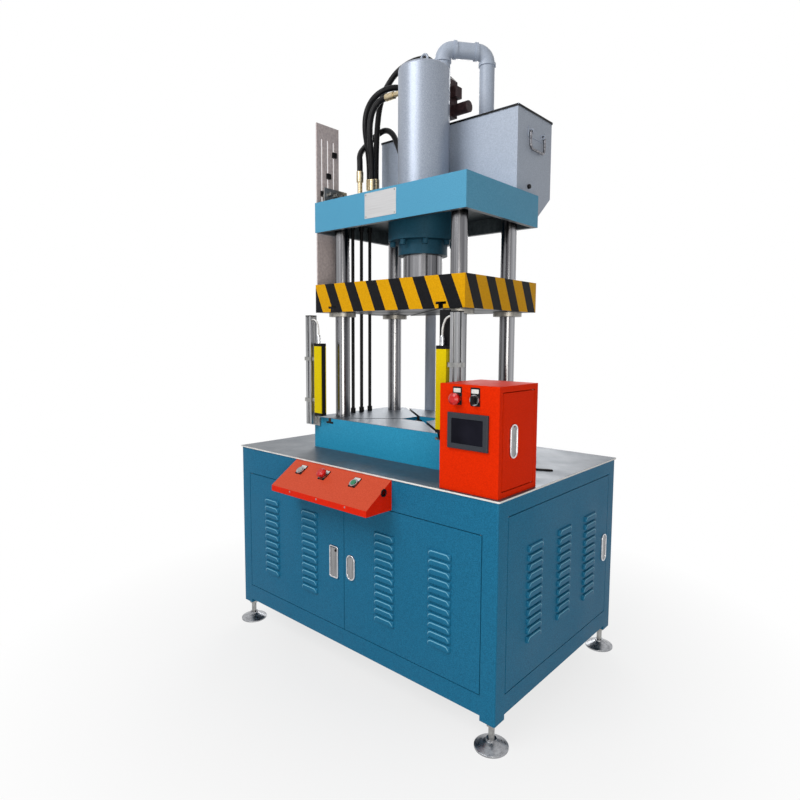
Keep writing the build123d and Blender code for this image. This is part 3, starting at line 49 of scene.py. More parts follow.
# The photograph's standpoint: a wide lens at chest height, off the right front corner of the press,
# turned a little down and rolled by a fraction of a degree.
YAW = math.radians(40.84)
PITCH = math.radians(-5.04)
ROLL = math.radians(0.39)
forward = Vector((-math.sin(YAW) * math.cos(PITCH), math.cos(YAW) * math.cos(PITCH), math.sin(PITCH)))
level_right = Vector((math.cos(YAW), math.sin(YAW), 0))
level_up = level_right.cross(forward)
lens_right = level_right * math.cos(ROLL) + level_up * math.sin(ROLL)
lens_up = level_up * math.cos(ROLL) - level_right * math.sin(ROLL)
lens = bpy.data.cameras.new("photo_camera")
lens.sensor_width = 36
lens.lens = 26.25
lens.shift_x = -0.0185
lens.shift_y = -0.0129
camera = bpy.data.objects.new("photo_camera", lens)
camera.matrix_world = Matrix(
    (
        (lens_right.x, lens_up.x, -forward.x, 1.5929),
        (lens_right.y, lens_up.y, -forward.y, -1.8333),
        (lens_right.z, lens_up.z, -forward.z, 1.2810),
        (0, 0, 0, 1),
    )
)
scene.collection.objects.link(camera)
scene.camera = camera


# Studio: a large soft light high in front, a low fill on the right, a soft one from behind, and a white
# surround. The floor is pale, keeps the shadow and fades into the surround.
def soft_light(name, place, target, size, power, tint):
    """A square area light at place that shines at target and isn't seen itself."""
    data = bpy.data.lights.new(name, "AREA")
    data.shape = "SQUARE"
    data.size = size
    data.energy = power
    data.color = tint
    light = bpy.data.objects.new(name, data)
    aim = (Vector(target) - Vector(place)).to_track_quat("-Z", "Y").to_matrix().to_4x4()
    light.matrix_world = Matrix.Translation(place) @ aim
    light.visible_camera = False
    scene.collection.objects.link(light)


soft_light("key_light", (-0.3, -3.2, 3.8), (0, 0, 1.1), 2.4, 112, (1, 1, 1))
soft_light("fill_light", (2.7, -2.5, 0.9), (0.4, 0, 0.6), 1.6, 50, (1, 0.96, 0.88))
soft_light("back_light", (-2.2, 3.4, 3.4), (0, 0, 1.3), 2.6, 85, (1, 1, 1))

SURROUND_LEVEL = 0.28
world = bpy.data.worlds.new("studio")
scene.world = world
world.use_nodes = True
sky = world.node_tree
sky.nodes.clear()
rays = sky.nodes.new("ShaderNodeLightPath")
seen = sky.nodes.new("ShaderNodeMath")
seen.operation = "MAXIMUM"
sky.links.new(rays.outputs["Is Camera Ray"], seen.inputs[0])
shiny = sky.nodes.new("ShaderNodeMath")
shiny.operation = "MAXIMUM"
sky.links.new(rays.outputs["Is Glossy Ray"], shiny.inputs[0])
sky.links.new(rays.outputs["Is Transmission Ray"], shiny.inputs[1])
sky.links.new(shiny.outputs[0], seen.inputs[1])
level = sky.nodes.new("ShaderNodeMapRange")
level.inputs["To Min"].default_value = SURROUND_LEVEL
level.inputs["To Max"].default_value = 1.0
sky.links.new(seen.outputs[0], level.inputs["Value"])
glow = sky.nodes.new("ShaderNodeBackground")
glow.inputs["Color"].default_value = (1, 1, 1, 1)
sky.links.new(level.outputs[0], glow.inputs["Strength"])
surround = sky.nodes.new("ShaderNodeOutputWorld")
sky.links.new(glow.outputs[0], surround.inputs["Surface"])


def sheet_mesh(name, points, closed=False, weld=True):
    """A mesh from grids of points of shape (..., rows, columns, 3), each grid one sheet of four-sided faces,
    its columns joined round where it is closed. Points that meet at a pole or a seam are welded into one."""
    rows, columns = points.shape[-3:-1]
    index = np.arange(rows * columns).reshape(rows, columns)
    if closed:
        index = np.hstack([index, index[:, :1]])
    quads = np.stack([index[:-1, :-1], index[:-1, 1:], index[1:, 1:], index[1:, :-1]], axis=-1).reshape(-1, 4)
    first = np.arange(points.size // 3 // (rows * columns)) * rows * columns
    faces = (quads + first[:, None, None]).reshape(-1, 4)
    mesh = bpy.data.meshes.new(name)
    mesh.from_pydata(points.reshape(-1, 3).tolist(), [], faces.tolist())
    if weld:
        shell = bmesh.new()
        shell.from_mesh(mesh)
        bmesh.ops.remove_doubles(shell, verts=shell.verts, dist=0.000002)
        shell.to_mesh(mesh)
        shell.free()
    mesh.polygons.foreach_set("use_smooth", np.ones(len(mesh.polygons), dtype=bool))
    mesh.set_sharp_from_angle(angle=math.radians(40))
    mesh.update()
    return mesh


def place_piece(name, mesh, material, body):
    """Puts a finished mesh into the scene as a piece that rides on a body."""
    piece = bpy.data.objects.new(name, mesh)
    scene.collection.objects.link(piece)
    mesh.materials.append(material)
    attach(piece, body)


def blank_finish(name):
    """A new material with its shader, and the Object coordinates that its patterns read."""
    material = bpy.data.materials.new(name)
    material.use_nodes = True
    tree = material.node_tree
    place = tree.nodes.new("ShaderNodeTexCoord").outputs["Object"]
    return material, tree, tree.nodes["Principled BSDF"], place


FLOOR_HALF = 9.0
floor_line = np.linspace(-FLOOR_HALF, FLOOR_HALF, 3)
floor_x, floor_y = np.meshgrid(floor_line, floor_line)
floor_mesh = sheet_mesh("floor", np.stack([floor_x, floor_y, np.zeros_like(floor_x)], axis=-1))
floor_finish = bpy.data.materials.new("pale_floor")
floor_finish.use_nodes = True
tree = floor_finish.node_tree
matt = tree.nodes["Principled BSDF"]
matt.inputs["Base Color"].default_value = (0.60, 0.60, 0.60, 1)
matt.inputs["Roughness"].default_value = 0.9
matt.inputs["Specular IOR Level"].default_value = 0.1
white = tree.nodes.new("ShaderNodeEmission")
white.inputs["Color"].default_value = (1, 1, 1, 1)
spread = tree.nodes.new("ShaderNodeVectorMath")
spread.operation = "LENGTH"
tree.links.new(tree.nodes.new("ShaderNodeTexCoord").outputs["Object"], spread.inputs[0])
fade = tree.nodes.new("ShaderNodeMapRange")
fade.inputs["From Min"].default_value = 0.5
fade.inputs["From Max"].default_value = 1.7
fade.inputs["To Min"].default_value = 0.74
tree.links.new(spread.outputs["Value"], fade.inputs["Value"])
floor_rays = tree.nodes.new("ShaderNodeLightPath")
floor_seen = tree.nodes.new("ShaderNodeMath")
floor_seen.operation = "MAXIMUM"
tree.links.new(floor_rays.outputs["Is Camera Ray"], floor_seen.inputs[0])
tree.links.new(floor_rays.outputs["Is Glossy Ray"], floor_seen.inputs[1])
show = tree.nodes.new("ShaderNodeMath")
show.operation = "MULTIPLY"
tree.links.new(fade.outputs[0], show.inputs[0])
tree.links.new(floor_seen.outputs[0], show.inputs[1])
blend = tree.nodes.new("ShaderNodeMixShader")
tree.links.new(show.outputs[0], blend.inputs["Fac"])
tree.links.new(matt.outputs[0], blend.inputs[1])
tree.links.new(white.outputs[0], blend.inputs[2])
tree.links.new(blend.outputs[0], tree.nodes["Material Output"].inputs["Surface"])
floor_mesh.materials.append(floor_finish)
floor = bpy.data.objects.new("floor", floor_mesh)
scene.collection.objects.link(floor)


# Cabinet: square steel tube and folded sheet, welded and sprayed in a dark hammer-finish blue,
# with louvred doors that sit flush in the frame and a bare grey steel plate on top, its edges
# painted pale as a highlight.
def joined_edges():
    """A node group that joins a solid's loose triangles and leaves its shading sharp only at real edges
    and where two solids touch."""
    group = bpy.data.node_groups.new("joined_edges", "GeometryNodeTree")
    group.interface.new_socket("Geometry", in_out="INPUT", socket_type="NodeSocketGeometry")
    group.interface.new_socket("Geometry", in_out="OUTPUT", socket_type="NodeSocketGeometry")
    start = group.nodes.new("NodeGroupInput")
    end = group.nodes.new("NodeGroupOutput")
    merge = group.nodes.new("GeometryNodeMergeByDistance")
    merge.inputs["Distance"].default_value = 0.00001
    smooth = group.nodes.new("GeometryNodeSetShadeSmooth")
    smooth.domain = "FACE"
    sharp = group.nodes.new("GeometryNodeSetShadeSmooth")
    sharp.domain = "EDGE"
    sharp.inputs["Shade Smooth"].default_value = False
    angle = group.nodes.new("GeometryNodeInputMeshEdgeAngle")
    over = group.nodes.new("FunctionNodeCompare")
    over.operation = "GREATER_THAN"
    over.inputs[1].default_value = math.radians(32)
    neighbours = group.nodes.new("GeometryNodeInputMeshEdgeNeighbors")
    touching = group.nodes.new("ShaderNodeMath")
    touching.operation = "GREATER_THAN"
    touching.inputs[1].default_value = 2.5
    either = group.nodes.new("FunctionNodeBooleanMath")
    either.operation = "OR"
    group.links.new(start.outputs[0], merge.inputs["Geometry"])
    group.links.new(merge.outputs["Geometry"], smooth.inputs["Geometry"])
    group.links.new(angle.outputs["Unsigned Angle"], over.inputs[0])
    group.links.new(smooth.outputs["Geometry"], sharp.inputs["Geometry"])
    group.links.new(neighbours.outputs["Face Count"], touching.inputs[0])
    group.links.new(over.outputs[0], either.inputs[0])
    group.links.new(touching.outputs[0], either.inputs[1])
    group.links.new(either.outputs[0], sharp.inputs["Selection"])
    group.links.new(sharp.outputs["Geometry"], end.inputs[0])
    return group


edge_group = joined_edges()


def finish_node(name, material, edge=0.0):
    """Gives a solid its material, joins its triangles, and eases its edges by a small round of this width."""
    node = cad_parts[name]
    node.material_slots[0].material = material
    node.modifiers.new("joined_edges", "NODES").node_group = edge_group
    if edge:
        ease = node.modifiers.new("eased_edges", "BEVEL")
        ease.width = edge
        ease.segments = 2
        ease.limit_method = "ANGLE"
        ease.angle_limit = math.radians(38)
        ease.use_clamp_overlap = False
        ease.harden_normals = True


def noise(tree, place, scale, detail=2.0, stretch=(1, 1, 1)):
    """A noise pattern on these coordinates, drawn out along an axis where its stretch is small."""
    turn = tree.nodes.new("ShaderNodeMapping")
    turn.inputs["Scale"].default_value = stretch
    tree.links.new(place, turn.inputs["Vector"])
    pattern = tree.nodes.new("ShaderNodeTexNoise")
    pattern.inputs["Scale"].default_value = scale
    pattern.inputs["Detail"].default_value = detail
    tree.links.new(turn.outputs[0], pattern.inputs["Vector"])
    return pattern.outputs["Fac"]


def tinted(tree, pattern, low, high, start=0.3, end=0.7):
    """A colour that runs from low to high as the pattern rises."""
    ramp = tree.nodes.new("ShaderNodeValToRGB")
    ramp.color_ramp.elements[0].position = start
    ramp.color_ramp.elements[0].color = (*low, 1)
    ramp.color_ramp.elements[1].position = end
    ramp.color_ramp.elements[1].color = (*high, 1)
    tree.links.new(pattern, ramp.inputs["Fac"])
    return ramp.outputs["Color"]


def raised(tree, shader, pattern, depth):
    """Raises the surface by the pattern, this deep in metres."""
    bump = tree.nodes.new("ShaderNodeBump")
    bump.inputs["Distance"].default_value = depth
    tree.links.new(pattern, bump.inputs["Height"])
    tree.links.new(bump.outputs[0], shader.inputs["Normal"])


def varied(tree, shader, pattern, low, high):
    """A roughness that runs from low to high as the pattern rises."""
    span = tree.nodes.new("ShaderNodeMapRange")
    span.inputs["From Min"].default_value = 0.3
    span.inputs["From Max"].default_value = 0.7
    span.inputs["To Min"].default_value = low
    span.inputs["To Max"].default_value = high
    tree.links.new(pattern, span.inputs["Value"])
    tree.links.new(span.outputs[0], shader.inputs["Roughness"])


def sprayed_paint(name, low, high, speck, depth, rough, gloss):
    """Sprayed paint: fine grains of two shades, a faint orange peel, and roughness that varies across a panel."""
    material, tree, shader, place = blank_finish(name)
    grains = noise(tree, place, speck, 3.0)
    tree.links.new(tinted(tree, grains, low, high), shader.inputs["Base Color"])
    raised(tree, shader, noise(tree, place, speck * 0.7, 1.0), depth)
    varied(tree, shader, noise(tree, place, 5.0), rough, rough + 0.1)
    shader.inputs["Specular IOR Level"].default_value = gloss
    return material


def set_on(points, origin, right, up):
    """Carries points from a piece's own right, up and outward axes to its place on the press."""
    axes = np.array([right, up, np.cross(right, up)])
    return np.asarray(origin) + points @ axes


def chosen(tree, mask, outside, inside):
    """One colour where the mask is nothing and the other where it is one."""
    mix = tree.nodes.new("ShaderNodeMix")
    mix.data_type = "RGBA"
    tree.links.new(mask, mix.inputs["Factor"])
    tree.links.new(outside, mix.inputs["A"])
    tree.links.new(inside, mix.inputs["B"])
    return mix.outputs["Result"]


def scaled(tree, mask, amount):
    """The mask times an amount."""
    times = tree.nodes.new("ShaderNodeMath")
    times.operation = "MULTIPLY"
    times.inputs[1].default_value = amount
    tree.links.new(mask, times.inputs[0])
    return times.outputs[0]


def looking_up(tree, least):
    """One on faces that look up at least this much, and nothing on the others."""
    facing = tree.nodes.new("ShaderNodeSeparateXYZ")
    tree.links.new(tree.nodes.new("ShaderNodeNewGeometry").outputs["True Normal"], facing.inputs[0])
    upward = tree.nodes.new("ShaderNodeMath")
    upward.operation = "GREATER_THAN"
    upward.inputs[1].default_value = least
    tree.links.new(facing.outputs["Z"], upward.inputs[0])
    return upward.outputs[0]


HAMMER_LOW = (0.006, 0.092, 0.182)
HAMMER_HIGH = (0.014, 0.168, 0.312)
hammer_blue = sprayed_paint("hammer_blue", HAMMER_LOW, HAMMER_HIGH, 420.0, 0.0003, 0.36, 0.10)
PLATE_FACE_LOOKS_UP = 0.8
grey_plate, tree, shader, place = blank_finish("grey_plate")
mill = noise(tree, place, 30.0, 4.0, (1, 14, 1))
face = tinted(tree, mill, (0.082, 0.095, 0.112), (0.140, 0.156, 0.178))
# The plate's side faces are painted pale as a highlight along its edges; its top face keeps the steel's grey.
painted_edge_highlight = tinted(tree, mill, (0.62, 0.61, 0.60), (0.80, 0.79, 0.77))
on_face = looking_up(tree, PLATE_FACE_LOOKS_UP)
tree.links.new(chosen(tree, on_face, painted_edge_highlight, face), shader.inputs["Base Color"])
varied(tree, shader, noise(tree, place, 9.0), 0.34, 0.48)
tree.links.new(scaled(tree, on_face, 0.75), shader.inputs["Metallic"])
for name in (
    "cabinet_posts",
    "cabinet_rails",
    "cabinet_floor",
    "cabinet_panels",
    "front_door_left",
    "front_door_right",
    "side_door",
):
    finish_node(name, hammer_blue)
finish_node("cabinet_top_plate", grey_plate, 0.0008)

FACING_FRONT = ((1, 0, 0), (0, 0, 1))
FACING_RIGHT = ((0, 1, 0), (0, 0, 1))
FACING_LEFT = ((0, -1, 0), (0, 0, 1))
FACING_UP = ((1, 0, 0), (0, 1, 0))
Y_SHIFT = 0.048
DOOR_FACE = -0.435 + Y_SHIFT
SIDE_FACE = 0.675
LOUVRE_PITCH = 0.0306
LOUVRE_COUNT = 11
HOOD_WIDTH = 0.095
HOOD_HEIGHT = 0.0206
HOOD_DEPTH = 0.0086
HOOD_END_ROUND = 0.013
HOOD_TOP_ROUND = 0.012
HOOD_SHEET = 0.0012
HOOD_LIP = 0.006
RIDGE_INSET = 0.0045
RIDGE_ROUND = 0.014
RIDGE_WIDTH = 0.0024


def louvre_hoods(tops):
    """Hoods that hang from these top middles. A hood's depth is its full depth times a rounded rise from the
    top edge times a rounded rise from the nearer end, each one minus (one minus share) to a power, rooted by
    that power. Two more rows turn the open lower edge back inside."""
    across = np.sin(np.linspace(np.pi / 2, -np.pi / 2, 29))
    down = np.linspace(0, 1, 12) ** 1.6
    down_grid, across_grid = np.meshgrid(down, across, indexing="ij")
    from_end = np.minimum(HOOD_WIDTH / 2 * (1 - np.abs(across_grid)) / HOOD_END_ROUND, 1)
    from_top = np.minimum(HOOD_HEIGHT * down_grid / HOOD_TOP_ROUND, 1)
    power = 2.6
    rise = (1 - (1 - from_end) ** power) ** (1 / power) * (1 - (1 - from_top) ** power) ** (1 / power)
    hood = np.stack([across_grid * HOOD_WIDTH / 2, -HOOD_HEIGHT * down_grid, HOOD_DEPTH * rise], axis=-1)
    turned = hood[-1:].copy()
    turned[..., 2] = np.maximum(turned[..., 2] - HOOD_SHEET, 0)
    inside = turned.copy()
    inside[..., 1] += HOOD_LIP
    return np.asarray(tops)[:, None, None, :] + np.concatenate([hood, turned, inside])


def louvre_tops(columns, top):
    """The top middle of every hood in these columns, a pitch apart downwards."""
    column, row = np.meshgrid(columns, np.arange(LOUVRE_COUNT), indexing="ij")
    return np.stack([column, top - row * LOUVRE_PITCH, np.zeros_like(column)], axis=-1).reshape(-1, 3)


def hood_paint_with_highlight():
    """The cabinet's paint, with a painted highlight along the bend of each hood. The highlight is a line inset
    from the hood's top and ends with round corners, found from how far a point is across and down its own hood."""
    material, tree, shader, place = blank_finish("hood_blue")
    spot = tree.nodes.new("ShaderNodeUVMap")
    fold = tree.nodes.new("ShaderNodeVectorMath")
    fold.operation = "ABSOLUTE"
    tree.links.new(spot.outputs[0], fold.inputs[0])
    corner = tree.nodes.new("ShaderNodeVectorMath")
    corner.operation = "MULTIPLY_ADD"
    corner.inputs[1].default_value = (1, -1, 0)
    reach = RIDGE_INSET + RIDGE_ROUND
    corner.inputs[2].default_value = (reach - HOOD_WIDTH / 2, reach, 0)
    tree.links.new(fold.outputs[0], corner.inputs[0])
    beyond = tree.nodes.new("ShaderNodeVectorMath")
    beyond.operation = "MAXIMUM"
    tree.links.new(corner.outputs[0], beyond.inputs[0])
    length = tree.nodes.new("ShaderNodeVectorMath")
    length.operation = "LENGTH"
    tree.links.new(beyond.outputs[0], length.inputs[0])
    apart = tree.nodes.new("ShaderNodeMath")
    apart.operation = "SUBTRACT"
    apart.inputs[1].default_value = RIDGE_ROUND
    tree.links.new(length.outputs["Value"], apart.inputs[0])
    near = tree.nodes.new("ShaderNodeMath")
    near.operation = "ABSOLUTE"
    tree.links.new(apart.outputs[0], near.inputs[0])
    ridge = tree.nodes.new("ShaderNodeMapRange")
    ridge.interpolation_type = "SMOOTHSTEP"
    ridge.inputs["From Max"].default_value = RIDGE_WIDTH
    ridge.inputs["To Min"].default_value = 1
    ridge.inputs["To Max"].default_value = 0
    tree.links.new(near.outputs[0], ridge.inputs["Value"])
    down = tree.nodes.new("ShaderNodeSeparateXYZ")
    tree.links.new(fold.outputs[0], down.inputs[0])
    upper = tree.nodes.new("ShaderNodeMapRange")
    upper.interpolation_type = "SMOOTHSTEP"
    upper.inputs["From Min"].default_value = HOOD_HEIGHT * 0.45
    upper.inputs["From Max"].default_value = HOOD_HEIGHT * 0.95
    upper.inputs["To Min"].default_value = 1
    upper.inputs["To Max"].default_value = 0
    tree.links.new(down.outputs["Y"], upper.inputs["Value"])
    line = tree.nodes.new("ShaderNodeMath")
    line.operation = "MULTIPLY"
    tree.links.new(ridge.outputs[0], line.inputs[0])
    tree.links.new(upper.outputs[0], line.inputs[1])
    grains = noise(tree, place, 420.0, 3.0)
    paint = tinted(tree, grains, HAMMER_LOW, HAMMER_HIGH)
    # The pale line along each hood's bend is a painted highlight.
    painted_ridge_highlight = tinted(tree, grains, (0.12, 0.36, 0.52), (0.22, 0.50, 0.66))
    tree.links.new(chosen(tree, line.outputs[0], paint, painted_ridge_highlight), shader.inputs["Base Color"])
    varied(tree, shader, noise(tree, place, 5.0), 0.30, 0.40)
    shader.inputs["Specular IOR Level"].default_value = 0.10
    return material


def louvre_piece(name, tops, origin, axes, body):
    """One piece of all the hoods on a door, with each point's place across and down its hood as its UV."""
    hoods = louvre_hoods(tops)
    mesh = sheet_mesh(name, set_on(hoods, origin, *axes), weld=False)
    spots = (hoods - np.asarray(tops)[:, None, None, :])[..., :2].reshape(-1, 2)
    loops = np.empty(len(mesh.loops), dtype=np.int32)
    mesh.loops.foreach_get("vertex_index", loops)
    mesh.uv_layers.new(name="hood").uv.foreach_set("vector", spots[loops].ravel())
    place_piece(name, mesh, hood_blue, body)


hood_blue = hood_paint_with_highlight()
FRONT_LOUVRE_TOP = 0.594
FRONT_LOUVRE_X = (0.206, 0.455)
SIDE_LOUVRE_TOP = 0.616
SIDE_LOUVRE_GAP = 0.209
left_tops = louvre_tops([-FRONT_LOUVRE_X[1], -FRONT_LOUVRE_X[0]], FRONT_LOUVRE_TOP)
right_tops = louvre_tops(FRONT_LOUVRE_X, FRONT_LOUVRE_TOP)
side_tops = louvre_tops([-SIDE_LOUVRE_GAP, 0.0, SIDE_LOUVRE_GAP], SIDE_LOUVRE_TOP)
louvre_piece("louvres_left", left_tops, (0, DOOR_FACE, 0), FACING_FRONT, "left_door")
louvre_piece("louvres_right", right_tops, (0, DOOR_FACE, 0), FACING_FRONT, "right_door")
louvre_piece("louvres_side", side_tops, (SIDE_FACE, Y_SHIFT, 0), FACING_RIGHT, "side_door")
louvre_piece("louvres_panel", side_tops, (-SIDE_FACE, Y_SHIFT, 0), FACING_LEFT, "frame")


# Latches and feet: chromed castings. Each latch is a rim riveted to the door with a paddle that tips out
# of it; each foot is a turned pad on a zinc-plated screw with a lock nut.
def bright_metal(name, low, high, rough, stretch=(1, 1, 1), scale=60.0):
    """Polished or brushed metal: two close greys in streaks along an axis, with gloss that follows them."""
    material, tree, shader, place = blank_finish(name)
    streaks = noise(tree, place, scale, 3.0, stretch)
    tree.links.new(tinted(tree, streaks, low, high), shader.inputs["Base Color"])
    varied(tree, shader, streaks, rough, rough + 0.1)
    shader.inputs["Metallic"].default_value = 1.0
    return material


def outline(width, height, corner, count):
    """A rectangle with round corners, run clockwise: a circle of the corner's radius, its four quarters pushed
    apart by the straight lengths. Gives the points and their outward directions."""
    turn = np.pi / 2 - 2 * np.pi * (np.arange(count) + 0.5) / count
    outward = np.stack([np.cos(turn), np.sin(turn), np.zeros(count)], axis=-1)
    straight = np.array([width / 2 - corner, height / 2 - corner, 0])
    return outward * corner + np.sign(outward) * straight, outward


def swept_rim(width, height, corner, band, proud):
    """A rim: the outline of its middle line, with a boxy round section carried along it. The section's point at
    an angle is its cosine and sine, each to the power of a half, times half the band and the proud height."""
    path, outward = outline(width, height, corner, 64)
    angle = np.linspace(np.pi, 0, 13)[:, None, None]
    aside = np.sign(np.cos(angle)) * np.sqrt(np.abs(np.cos(angle))) * band / 2
    lift = np.sqrt(np.abs(np.sin(angle))) * proud
    return path + outward * aside + lift * np.array([0, 0, 1])


def raised_plate(width, height, corner, thick, ease, count=48):
    """A plate: the outline drawn in to nothing at the middle of the face, out to the eased edge, and down to
    the foot."""
    edge, outward = outline(width, height, corner, count)
    lift = np.array([0, 0, 1])
    face = lift * thick
    return np.stack([edge * 0 + face, edge - outward * ease + face, edge + face - lift * ease, edge])


chrome = bright_metal("chrome", (0.46, 0.47, 0.49), (0.70, 0.71, 0.73), 0.16)
# The paddles' chrome is painted darker than the rims, with fine upright streaks, as the reflections they show.
paddle_chrome = bright_metal("paddle_chrome", (0.20, 0.20, 0.205), (0.36, 0.36, 0.365), 0.22, (1, 1, 0.05), 160.0)
foot_steel = bright_metal("foot_steel", (0.22, 0.225, 0.24), (0.42, 0.43, 0.45), 0.24, (1, 1, 4), 60.0)
zinc = bright_metal("zinc_plate", (0.24, 0.24, 0.235), (0.40, 0.40, 0.39), 0.30, (1, 1, 1), 90.0)
for name in ("front_latch_left", "front_latch_right", "side_latch", "box_latch"):
    finish_node(name, paddle_chrome)
finish_node("foot_pads", foot_steel, 0.001)
finish_node("foot_screws", zinc, 0.0005)
finish_node("hinge_pins", zinc)

BOX_SIDE = 0.666
RIM_BAND = 0.0058
RIM_PROUD = 0.0070
for name, size, origin, axes, body in (
    ("latch_rim_left", (0.043, 0.121, 0.005), (-0.058, DOOR_FACE, 0.426), FACING_FRONT, "left_door"),
    ("latch_rim_right", (0.040, 0.092, 0.020), (0.036, DOOR_FACE, 0.426), FACING_FRONT, "right_door"),
    ("latch_rim_side", (0.036, 0.106, 0.018), (SIDE_FACE, 0.343 + Y_SHIFT, 0.449), FACING_RIGHT, "side_door"),
    ("latch_rim_box", (0.036, 0.101, 0.018), (BOX_SIDE, -0.349 + Y_SHIFT, 0.969), FACING_RIGHT, "box_door"),
):
    rim = set_on(swept_rim(*size, RIM_BAND, RIM_PROUD), origin, *axes)
    place_piece(name, sheet_mesh(name, rim, closed=True), chrome, body)

BLACK_LOW = (0.003, 0.003, 0.004)
BLACK_HIGH = (0.008, 0.008, 0.009)
black_plastic = sprayed_paint("black_plastic", BLACK_LOW, BLACK_HIGH, 260.0, 0.0002, 0.42, 0.12)
LOCK_DIAMETER = 0.010
lock_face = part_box("front_latch_left")[0][1]
lock = set_on(
    raised_plate(LOCK_DIAMETER, LOCK_DIAMETER, LOCK_DIAMETER / 2, 0.0012, 0.0005),
    (-0.047, lock_face, 0.472),
    *FACING_FRONT,
)
place_piece("latch_lock", sheet_mesh("latch_lock", lock, closed=True), black_plastic, "left_paddle")


# Bed and crown: thick welded plate, milled and sprayed in a lighter blue, the crown's painted paler still as the
# stronger light on it and its underside painted dark as shade. The bed's top is ground steel, with T-slots cut
# into it whose insides are painted near black as shade. A bare aluminium plate is riveted to the crown's front.
def masked(tree, place, x_half, y_half):
    """One inside a rectangle about the press's axis, seen from above, and nothing outside it."""
    shift = tree.nodes.new("ShaderNodeVectorMath")
    shift.operation = "SUBTRACT"
    shift.inputs[1].default_value = (PRESS_X, PRESS_Y, 0)
    tree.links.new(place, shift.inputs[0])
    size = tree.nodes.new("ShaderNodeVectorMath")
    size.operation = "ABSOLUTE"
    tree.links.new(shift.outputs[0], size.inputs[0])
    sides = tree.nodes.new("ShaderNodeSeparateXYZ")
    tree.links.new(size.outputs[0], sides.inputs[0])
    both = tree.nodes.new("ShaderNodeMath")
    both.operation = "MULTIPLY"
    for axis, half, entry in (("X", x_half, 0), ("Y", y_half, 1)):
        within = tree.nodes.new("ShaderNodeMath")
        within.operation = "LESS_THAN"
        within.inputs[1].default_value = half
        tree.links.new(sides.outputs[axis], within.inputs[0])
        tree.links.new(within.outputs[0], both.inputs[entry])
    return both.outputs[0]


PRESS_X = -0.016
PRESS_Y = 0.0255 + Y_SHIFT
BED_TOP = 0.935
BED_HALF = (0.403, 0.255)
BED_HOLE_HALF = (0.064, 0.061)
SKIN = 0.0012
BED_LOW = (0.012, 0.225, 0.395)
BED_HIGH = (0.026, 0.310, 0.520)
bed_blue = sprayed_paint("bed_blue", BED_LOW, BED_HIGH, 300.0, 0.0002, 0.32, 0.2)
# A darker copy of the blue, painted as the shade under the crown, for the cylinder's flange, gland ring and bolts.
painted_shade_blue = sprayed_paint("painted_shade_blue", (0.010, 0.062, 0.105), (0.020, 0.098, 0.158), 300.0, 0.0002, 0.36, 0.15)
bed_finish, tree, shader, place = blank_finish("bed_blue_and_ground_steel")
blue = tinted(tree, noise(tree, place, 300.0, 3.0), BED_LOW, BED_HIGH)
cuts = noise(tree, place, 40.0, 4.0, (1, 12, 1))
steel = tinted(tree, cuts, (0.070, 0.088, 0.112), (0.120, 0.144, 0.175))
# Faces below the bed's top inside its outline, the T-slots' walls and floors, are painted near black as shade; the
# hole's walls stay blue.
painted_slot_shade = tinted(tree, cuts, (0.010, 0.010, 0.011), (0.022, 0.022, 0.024))
height = tree.nodes.new("ShaderNodeSeparateXYZ")
tree.links.new(place, height.inputs[0])
ground = tree.nodes.new("ShaderNodeMath")
ground.operation = "GREATER_THAN"
ground.inputs[1].default_value = BED_TOP - SKIN
tree.links.new(height.outputs["Z"], ground.inputs[0])
slots = masked(tree, place, BED_HALF[0] - SKIN, BED_HALF[1] - SKIN)
hole = masked(tree, place, BED_HOLE_HALF[0] + SKIN, BED_HOLE_HALF[1] + SKIN)
below = chosen(tree, hole, chosen(tree, slots, blue, painted_slot_shade), blue)
tree.links.new(chosen(tree, ground.outputs[0], below, steel), shader.inputs["Base Color"])
tree.links.new(scaled(tree, ground.outputs[0], 0.8), shader.inputs["Metallic"])
varied(tree, shader, cuts, 0.30, 0.44)
shader.inputs["Specular IOR Level"].default_value = 0.2
finish_node("bed_top", bed_finish)
finish_node("bed_walls", bed_blue)

CROWN_HALF = (0.401, 0.247)
CROWN_TOP = 1.857
crown_finish, tree, shader, place = blank_finish("crown_blue_and_painted_shade")
# The crown's blue is painted paler than the bed's, as the stronger light that falls on it higher up.
blue = tinted(tree, noise(tree, place, 300.0, 3.0), (0.055, 0.255, 0.415), (0.090, 0.335, 0.520))
# Under the crown, the faces inside its outline are painted near black as the shade beneath it.
painted_underside_shade = tinted(tree, noise(tree, place, 60.0, 3.0), (0.030, 0.040, 0.047), (0.066, 0.082, 0.094))
height = tree.nodes.new("ShaderNodeSeparateXYZ")
tree.links.new(place, height.inputs[0])
under = tree.nodes.new("ShaderNodeMath")
under.operation = "LESS_THAN"
under.inputs[1].default_value = CROWN_TOP - SKIN
tree.links.new(height.outputs["Z"], under.inputs[0])
painted_shade_mask = tree.nodes.new("ShaderNodeMath")
painted_shade_mask.operation = "MULTIPLY"
tree.links.new(under.outputs[0], painted_shade_mask.inputs[0])
tree.links.new(masked(tree, place, CROWN_HALF[0] - SKIN, CROWN_HALF[1] - SKIN), painted_shade_mask.inputs[1])
tree.links.new(chosen(tree, painted_shade_mask.outputs[0], blue, painted_underside_shade), shader.inputs["Base Color"])
raised(tree, shader, noise(tree, place, 210.0, 1.0), 0.0002)
varied(tree, shader, noise(tree, place, 5.0), 0.34, 0.44)
shader.inputs["Specular IOR Level"].default_value = 0.2
for name in ("crown_deck", "crown_skirt"):
    finish_node(name, crown_finish)

